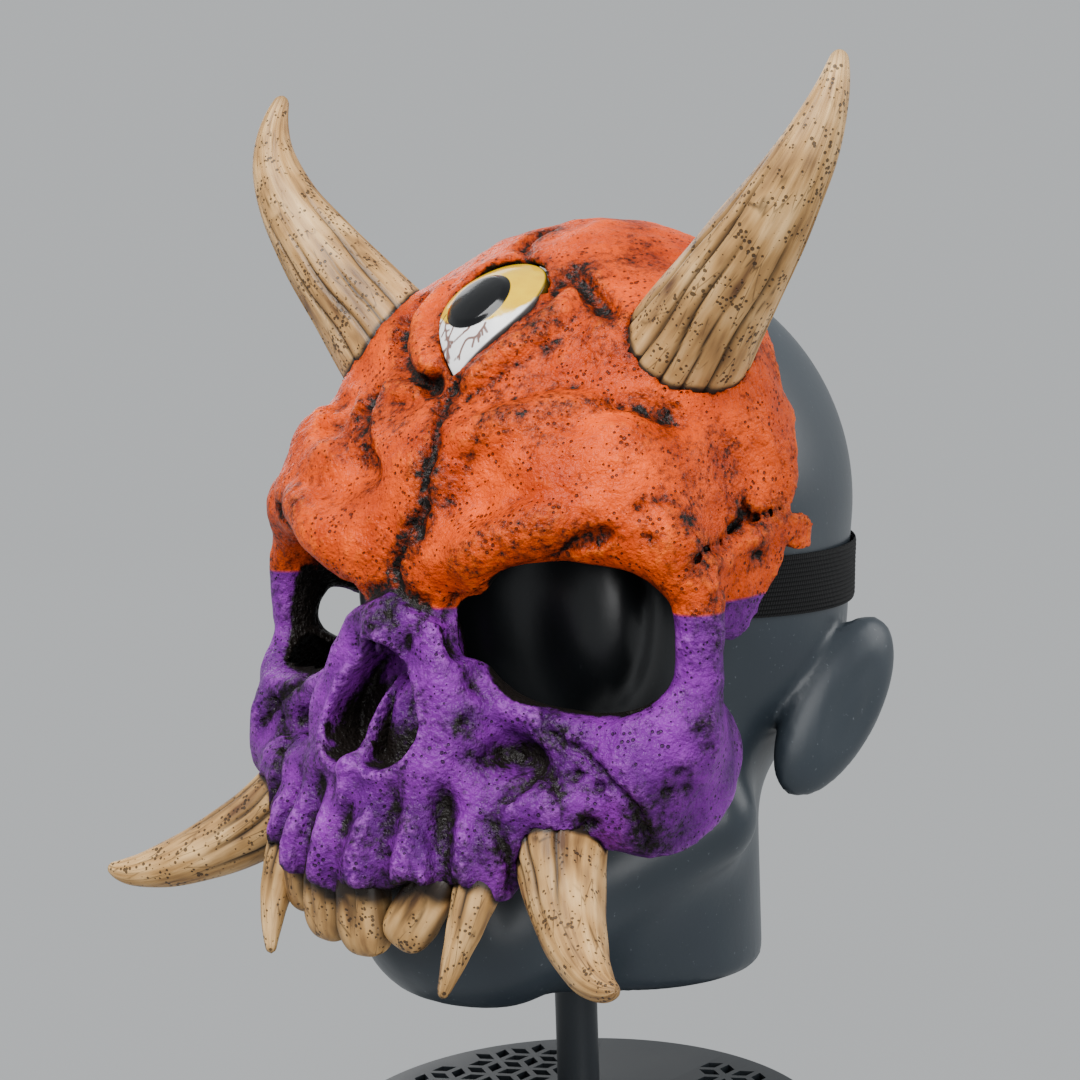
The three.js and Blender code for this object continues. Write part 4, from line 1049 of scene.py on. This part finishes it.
def headPlastic():
    # Blow-moulded plastic, satin blue-grey: broad soft highlights, a faint orange peel and a little dust.
    material, add, surface, place, tone = mouldedPlastic(
        "satin blow-moulded plastic", 0.36, ("#262d34", "#313940"), (40, 2.0), (0.3, 0.44), (2.5, 1.0, 0.15, 0.0002))
    dust = add("TexNoise", {"Vector": place, "Scale": perMetre(1.6), "Detail": 2.0})
    specks = add("MapRange", {"Value": dust, "From Min": 0.7, "From Max": 0.78, "To Max": 0.35})
    dusty = add("Mix", {0: specks, 6: tone, 7: "#8d949a"}, data_type="RGBA")
    # painted shadow of the mask: the face under it is darkened towards black
    maskShade = add("Attribute", attribute_name="maskShade").outputs["Fac"]
    colour = add("Mix", {0: maskShade, 6: dusty, 7: "#08090a"}, data_type="RGBA")
    giveInputs(surface, {"Base Color": colour})
    return material


def earForm(p):
    ear = displayHead["ear"]
    x, y, z = (p[i] - ear["at"][i] for i in range(3))
    a, b = math.radians(ear["lean"]), math.radians(ear["turn"])
    x, y = math.cos(b) * x - math.sin(b) * y, math.sin(b) * x + math.cos(b) * y
    y, z = math.cos(a) * y - math.sin(a) * z, math.sin(a) * y + math.cos(a) * z
    own = [x, y, z]
    d = ball(own, (0, 0, 0), ear["size"])
    d = carve(d, ball(own, (12, 1, 2), (7, 9, 20)), 4)
    return blend(d, ball(own, (5, 1, 2), (3, 5, 14)), 4)


def sculptHead():
    grid = Grid((-96, -84, -158), (96, 132, 104), displayHead["step"])
    half = grid.points(folded=True)
    d = blend(headForm(half), earForm(half), 3).astype(np.float32)
    return skinOf(grid.unfold(d), grid)


corners, faces = sculptHead()
paintOfHead = headPlastic()
dummy = meshPiece("display_head_moulded", corners, faces, paintOfHead)
# painted shadow of the mask on the face: the front of the head, above the jaw, is darkened
giveValues(dummy, "maskShade", 0.93 * bump01(10, -22, corners[:, 1]) * bump01(-82, -60, corners[:, 2]))
standFor(dummy, ["display_head"])


strap = {
    "width": 20, "thickness": 1.3, "cords": 14, "level": -13, "rise": 5,
    "middle": (0, 36), "reach": 118, "leaves": 82, "air": 1.0,
}


def wovenElastic():
    # Black woven elastic: rubber cords run along the band under a close weave, so it shows fine ribs lengthwise and
    # shorter stitches across them.
    material, add, surface = newMaterial("woven polyester elastic", 0.7, 1.46)
    giveInputs(surface, {"Specular IOR Level": 0.25})
    band = add("Attribute", attribute_name="band").outputs["Vector"]
    split = add("SeparateXYZ", {0: band})
    # 1.4 mm from cord to cord, 1.1 mm from stitch to stitch
    cord = add("Math", {0: split.outputs[1], 1: 2 * math.pi / 0.00143}, operation="MULTIPLY")
    cordWave = add("Math", {0: cord}, operation="COSINE")
    pick = add("Math", {0: split.outputs[0], 1: 2 * math.pi / 0.0011}, operation="MULTIPLY")
    shift = add("Math", {0: cord, 1: 0.5, 2: pick}, operation="MULTIPLY_ADD")
    pickWave = add("Math", {0: shift}, operation="COSINE")
    both = add("Math", {0: pickWave, 1: 0.7, 2: cordWave}, operation="MULTIPLY_ADD")
    tone = add("MapRange", {"Value": both, "From Min": -1.4, "From Max": 1.7})
    colour = add("Mix", {0: tone, 6: "#030303", 7: "#101012"}, data_type="RGBA")
    relief = add("Bump", {"Height": both, "Strength": 0.8, "Distance": 0.00025})
    giveInputs(surface, {"Base Color": colour, "Normal": relief})
    return material


def rayOut(form, turn, height, start=130.0):
    # distance from the strap's middle to a form, looking inwards along each turn
    r = np.full(np.broadcast_shapes(turn.shape, height.shape), start)
    for _ in range(120):
        p = [strap["middle"][0] + np.sin(turn) * r, strap["middle"][1] + np.cos(turn) * r, height + 0 * r]
        r = r - form(p) * 0.7
    return r


def shellInside(p):
    q = [np.abs(p[0]), p[1], p[2]]
    behind = np.maximum(innerForm(q), skullForm(q)) + 4
    return np.minimum(behind, headForm(q) - 3)


def buildStrap():
    steps, rows = 300, 57
    turn = np.linspace(-1, 1, steps)[:, None] * math.radians(strap["reach"])
    share = np.abs(turn) / math.radians(strap["reach"])
    across = np.linspace(-0.5, 0.5, rows)[None, :]
    height = strap["level"] + strap["rise"] * share ** 2 + across * strap["width"]
    onHead = rayOut(headForm, turn, height) + strap["air"]
    inShell = rayOut(shellInside, turn, height) - strap["air"] - strap["thickness"]
    parting = bump01(math.radians(strap["leaves"]), math.radians(strap["reach"]), np.abs(turn))
    under = np.maximum(onHead, onHead + (inShell - onHead) * parting)
    rib = 0.07 * np.cos(across * strap["cords"] * 2 * math.pi)
    edge = np.sqrt(np.clip(1 - (np.abs(across) * 2) ** 12, 0, 1))
    half = strap["thickness"] / 2
    middle = under + half
    surfaces = []
    for sign in (1, -1):
        r = middle + sign * (half * edge + rib * edge - 0.05)
        surfaces.append(np.stack([strap["middle"][0] + np.sin(turn) * r, strap["middle"][1] + np.cos(turn) * r,
                                  height + 0 * r], axis=-1))
    outer, inner = surfaces
    run = np.concatenate([[0], np.cumsum(np.linalg.norm(np.diff(outer[:, rows // 2], axis=0), axis=1))])
    places = np.concatenate([outer.reshape(-1, 3), inner.reshape(-1, 3)])
    band = np.stack([run[:, None] + 0 * across, across * strap["width"] + 0 * turn, 0 * turn + 0 * across], axis=-1)
    band = np.concatenate([band.reshape(-1, 3)] * 2) * 0.001
    count = steps * rows
    faces = []
    for i in range(steps - 1):
        for j in range(rows - 1):
            a, b, c, d = i * rows + j, (i + 1) * rows + j, (i + 1) * rows + j + 1, i * rows + j + 1
            faces.append((a, d, c, b))
            faces.append((count + a, count + b, count + c, count + d))
        low, high = i * rows, i * rows + rows - 1
        faces.append((low, low + rows, count + low + rows, count + low))
        faces.append((high, count + high, count + high + rows, high + rows))
    for i in (0, steps - 1):
        for j in range(rows - 1):
            a, b = i * rows + j, i * rows + j + 1
            quad = (a, count + a, count + b, b)
            faces.append(quad if i == 0 else quad[::-1])
    return places, faces, band, float(run[-1])


corners, faces, band, strapLength = buildStrap()
elastic = meshPiece("elastic_strap_woven", corners, faces, wovenElastic())
giveValues(elastic, "band", band)
standFor(elastic, ["elastic_strap"])
print(f"strap: {strapLength:.0f} mm long")


stand = {
    "footRadius": 87, "footThickness": 6, "edgeRound": 1.2,
    "postRadius": 7.4, "visible": 57, "tenon": 28, "fillet": 3,
    # perforation: rhombic openings, three to a hexagon
    "blockEdge": 8.3, "rib": 2.4, "plainMiddle": 20, "plainRim": 5, "plainBand": 20, "bandAngle": 19,
}


def standPlastic():
    # Injection-moulded plastic, satin blue-grey, with a fine spark-eroded grain that softens the gloss. The
    # real grain is about 0.1 mm, drawn as 0.6 mm so that it shows.
    return mouldedPlastic("satin injection-moulded plastic", 0.42, ("#1b1f23", "#252a2f"), (30, 3.0), (0.36, 0.48),
                          (0.6, 2.0, 0.3, 0.0001))[0]


def quarter(centre, radius, start, end, count=5):
    angles = [math.radians(start + (end - start) * i / count) for i in range(count + 1)]
    return [(centre[0] + radius * math.cos(a), centre[1] + radius * math.sin(a)) for a in angles]


def standProfile():
    foot, top, edge = stand["footRadius"], stand["footThickness"], stand["edgeRound"]
    post, joint, flare = stand["postRadius"], top + stand["visible"], stand["fillet"]
    line = [(0, 0)]
    line += quarter((foot - edge, edge), edge, -90, 0)
    line += quarter((foot - edge, top - edge), edge, 0, 90)
    line += quarter((post + flare, top + flare), flare, 270, 180)
    line += quarter((post + flare, joint - flare), flare, 180, 100)
    line += [(post, joint + 1), (post, joint + stand["tenon"]), (0, joint + stand["tenon"])]
    return line


def lathe(line, sides):
    turn = 2 * math.pi * np.arange(sides) / sides
    rings = [q for q in line if q[0] > 1e-6]
    corners = [(radius * math.cos(a), radius * math.sin(a), z) for radius, z in rings for a in turn]
    corners += [(0, 0, line[0][1]), (0, 0, line[-1][1])]
    return np.array(corners), tubeFaces(len(rings), sides, len(corners) - 2, len(corners) - 1)


def perforationTree():
    # rhombic prisms, three to each point of a staggered grid, kept where the foot is perforated
    tree = bpy.data.node_groups.new("perforation", "GeometryNodeTree")
    add = partial(addNode, tree)
    edge, root3 = stand["blockEdge"], math.sqrt(3)
    values = {"Pitch": edge * root3, "Half edge": edge / 2, "Opening": edge - stand["rib"] * 2 / root3,
              "From middle": stand["plainMiddle"] + edge / 2, "From band": stand["plainBand"] + edge / 2,
              "To rim": stand["footRadius"] - stand["plainRim"] - edge / 2}
    values = {name: value * 0.001 for name, value in values.items()}
    values["Band angle"] = math.radians(stand["bandAngle"])
    tree.interface.new_socket("Geometry", in_out="OUTPUT", socket_type="NodeSocketGeometry")
    for name in values:
        tree.interface.new_socket(name, in_out="INPUT", socket_type="NodeSocketFloat")
    tree.interface.new_socket("Material", in_out="INPUT", socket_type="NodeSocketMaterial")
    given = add("NodeGroupInput").outputs
    # square grid of points, its rows moved closer and every other one sideways
    count = 15
    side = add("Math", {0: given["Pitch"], 1: count - 1}, operation="MULTIPLY")
    grid = add("GeometryNodeMeshGrid", {"Size X": side, "Size Y": side, "Vertices X": count, "Vertices Y": count})
    place = add("SeparateXYZ", {0: add("GeometryNodeInputPosition")}).outputs
    row = add("Math", {0: place["Y"], 1: given["Pitch"]}, operation="DIVIDE")
    row = add("Math", {0: row}, operation="ROUND")
    evenRow = add("Math", {0: row, 1: 40.0}, operation="ADD")  # no row is negative, for the remainder
    odd = add("Math", {0: evenRow, 1: 2.0}, operation="MODULO")
    aside = add("Math", {0: odd, 1: given["Pitch"]}, operation="MULTIPLY")
    x = add("Math", {0: aside, 1: 0.5, 2: place["X"]}, operation="MULTIPLY_ADD")
    y = add("Math", {0: row, 1: given["Pitch"]}, operation="MULTIPLY")
    y = add("Math", {0: y, 1: root3 / 2}, operation="MULTIPLY")
    moved = add("GeometryNodeSetPosition", {"Geometry": grid, "Position": add("CombineXYZ", {0: x, 1: y})})
    # one prism, its short diagonal along X, pushed out by half an edge, and three of them round a point
    prism = add("GeometryNodeMeshCylinder", {"Vertices": 4, "Radius": 0.5, "Depth": 0.02})
    long = add("Math", {0: given["Opening"], 1: root3}, operation="MULTIPLY")
    size = add("CombineXYZ", {0: given["Opening"], 1: long, 2: 1.0})
    out = add("CombineXYZ", {0: given["Half edge"]})
    block = add("GeometryNodeTransform", {"Geometry": prism, "Translation": out, "Scale": size})
    trio = add("GeometryNodeMeshLine", {"Count": 3, "Offset": (0, 0, 0)})
    angle = add("Math", {0: add("GeometryNodeInputIndex"), 1: 2 * math.pi / 3, 2: math.pi / 2},
                operation="MULTIPLY_ADD")
    three = add("GeometryNodeInstanceOnPoints", {"Points": trio, "Instance": block,
                                                 "Rotation": add("CombineXYZ", {2: angle})})
    three = add("GeometryNodeRealizeInstances", {0: three})
    many = add("GeometryNodeInstanceOnPoints", {"Points": moved, "Instance": three})
    many = add("GeometryNodeRealizeInstances", {0: many})
    # each prism is kept or dropped as a whole, by its own middle
    island = add("GeometryNodeInputMeshIsland")
    total = add("GeometryNodeAccumulateField", {"Value": add("GeometryNodeInputPosition"), "Group ID": island},
                data_type="FLOAT_VECTOR").outputs["Total"]
    number = add("GeometryNodeAccumulateField", {"Value": 1.0, "Group ID": island},
                 data_type="FLOAT").outputs["Total"]
    share = add("Math", {0: 1.0, 1: number}, operation="DIVIDE")
    middle = add("VectorMath", {0: total, "Scale": share}, operation="SCALE")
    flat = add("VectorMath", {0: middle, 1: (1, 1, 0)}, operation="MULTIPLY")
    far = add("VectorMath", {0: flat}, operation="LENGTH").outputs["Value"]
    turned = add("VectorRotate", {"Vector": flat, "Angle": given["Band angle"]}, rotation_type="Z_AXIS",
                 invert=True)
    sideways = add("Math", {0: add("SeparateXYZ", {0: turned})}, operation="ABSOLUTE")
    tooNear = add("Math", {0: far, 1: given["From middle"]}, operation="LESS_THAN")
    tooFar = add("Math", {0: far, 1: given["To rim"]}, operation="GREATER_THAN")
    onBand = add("Math", {0: sideways, 1: given["From band"]}, operation="LESS_THAN")
    drop = add("Math", {0: tooNear, 1: tooFar}, operation="MAXIMUM")
    drop = add("Math", {0: drop, 1: onBand}, operation="MAXIMUM")
    dropped = add("Math", {0: drop, 1: 0.5}, operation="GREATER_THAN")
    kept = add("GeometryNodeDeleteGeometry", {"Geometry": many, "Selection": dropped})
    coloured = add("GeometryNodeSetMaterial", {"Geometry": kept, "Material": given["Material"]})
    add("NodeGroupOutput", {0: coloured})
    return tree, values


def plainCopy(piece, name):
    depsgraph = bpy.context.evaluated_depsgraph_get()
    mesh = bpy.data.meshes.new_from_object(piece.evaluated_get(depsgraph))
    mesh.name = name
    return mesh


def buildStand(material):
    corners, faces = lathe(standProfile(), 192)
    piece = meshPiece("display_stand_moulded", corners, faces, material, level=0)
    cutters = bpy.data.objects.new("perforationCutters", bpy.data.meshes.new("perforationCutters"))
    bpy.context.scene.collection.objects.link(cutters)
    maker = cutters.modifiers.new("perforation", "NODES")
    tree, values = perforationTree()
    maker.node_group = tree
    identifiers = {item.name: item.identifier for item in tree.interface.items_tree if item.in_out == "INPUT"}
    for name, value in values.items():
        maker[identifiers[name]] = value
    maker[identifiers["Material"]] = material
    bpy.context.view_layer.update()
    cutters.data = plainCopy(cutters, "perforationCutters")
    cutters.modifiers.clear()
    print("perforation:", len(cutters.data.polygons) // 6, "openings")
    cut = piece.modifiers.new("cut", "BOOLEAN")
    cut.object = cutters
    cut.solver = "MANIFOLD"
    bpy.context.view_layer.update()
    mesh = plainCopy(piece, "display_stand_moulded")
    piece.modifiers.clear()
    piece.data = mesh
    bpy.data.objects.remove(cutters)
    mesh.set_sharp_from_angle(angle=math.radians(35))
    return piece


standPiece = buildStand(standPlastic())
standFor(standPiece, ["display_stand"])


studio = {
    "paper": "#c3c6c8", "radius": 3.0, "wall": 2.6,
    "keyPower": 42, "fillPower": 13, "rimPower": 8, "world": 0.5, "glow": 0.96,
}


def paperBackdrop():
    # Seamless studio paper, matt and pale grey.
    material, add, surface = newMaterial("matt background paper", 0.9, 1.4)
    giveInputs(surface, {"Base Color": "#1e1f20", "Emission Color": studio["paper"],
                         "Emission Strength": studio["glow"], "Specular IOR Level": 0})
    material.cycles.emission_sampling = "NONE"  # so large and even that aiming at it only costs time
    return material


radius, wall, turnRadius = studio["radius"] * 1000, studio["wall"] * 1000, 900
line = [(0, 0), (300, 0), (900, 0)]
line += [(radius - turnRadius + turnRadius * math.sin(a), turnRadius - turnRadius * math.cos(a))
         for a in np.linspace(0, math.pi / 2, 13)]
line += [(radius, wall), (radius - 400, wall + 300), (0, wall + 300)]
corners, faces = lathe(line, 96)
floor = meshPiece("floor", corners, [face[::-1] for face in faces], paperBackdrop(), level=-0.02)


def softBox(name, at, aim, size, power, colour=(1, 1, 1)):
    light = bpy.data.lights.new(name, "AREA")
    light.shape = "RECTANGLE"
    light.size, light.size_y = size
    light.energy = power
    light.color = colour
    lamp = bpy.data.objects.new(name, light)
    lamp.location = at
    lamp.rotation_euler = (Vector(aim) - Vector(at)).to_track_quat("-Z", "Y").to_euler()
    bpy.context.scene.collection.objects.link(lamp)


aim = (0, 0, 0.2)
softBox("key", (0.1, -0.85, 1.5), aim, (1.1, 0.9), studio["keyPower"])
softBox("fill", (1.35, -0.65, 0.55), aim, (1.0, 1.0), studio["fillPower"])
softBox("rim", (0.95, 1.05, 0.75), aim, (0.7, 1.0), studio["rimPower"])
softBox("rimLeft", (-1.2, 0.7, 0.7), aim, (0.6, 0.9), studio["rimPower"] * 0.5)

world = bpy.data.worlds.new("studio")
world.use_nodes = True
world.node_tree.nodes["Background"].inputs["Color"].default_value = (0.9, 0.95, 1.0, 1)
world.node_tree.nodes["Background"].inputs["Strength"].default_value = studio["world"]
bpy.context.scene.world = world

camera = {
    "at": (0.5207, -0.6050, 0.3250), "aim": (0, -0.0112, 0.2153), "lens": 78.75, "roll": -1.87,
}
lens = bpy.data.cameras.new("camera")
lens.lens = camera["lens"]
lens.sensor_width = 36
lens.clip_start = 0.01
eyepiece = bpy.data.objects.new("camera", lens)
toAim = Vector(camera["aim"]) - Vector(camera["at"])
level = toAim.to_track_quat("-Z", "Y").to_matrix().to_4x4()
eyepiece.matrix_world = (Matrix.Translation(Vector(camera["at"])) @ level
                         @ Matrix.Rotation(math.radians(camera["roll"]), 4, "Z"))
bpy.context.scene.collection.objects.link(eyepiece)
bpy.context.scene.camera = eyepiece
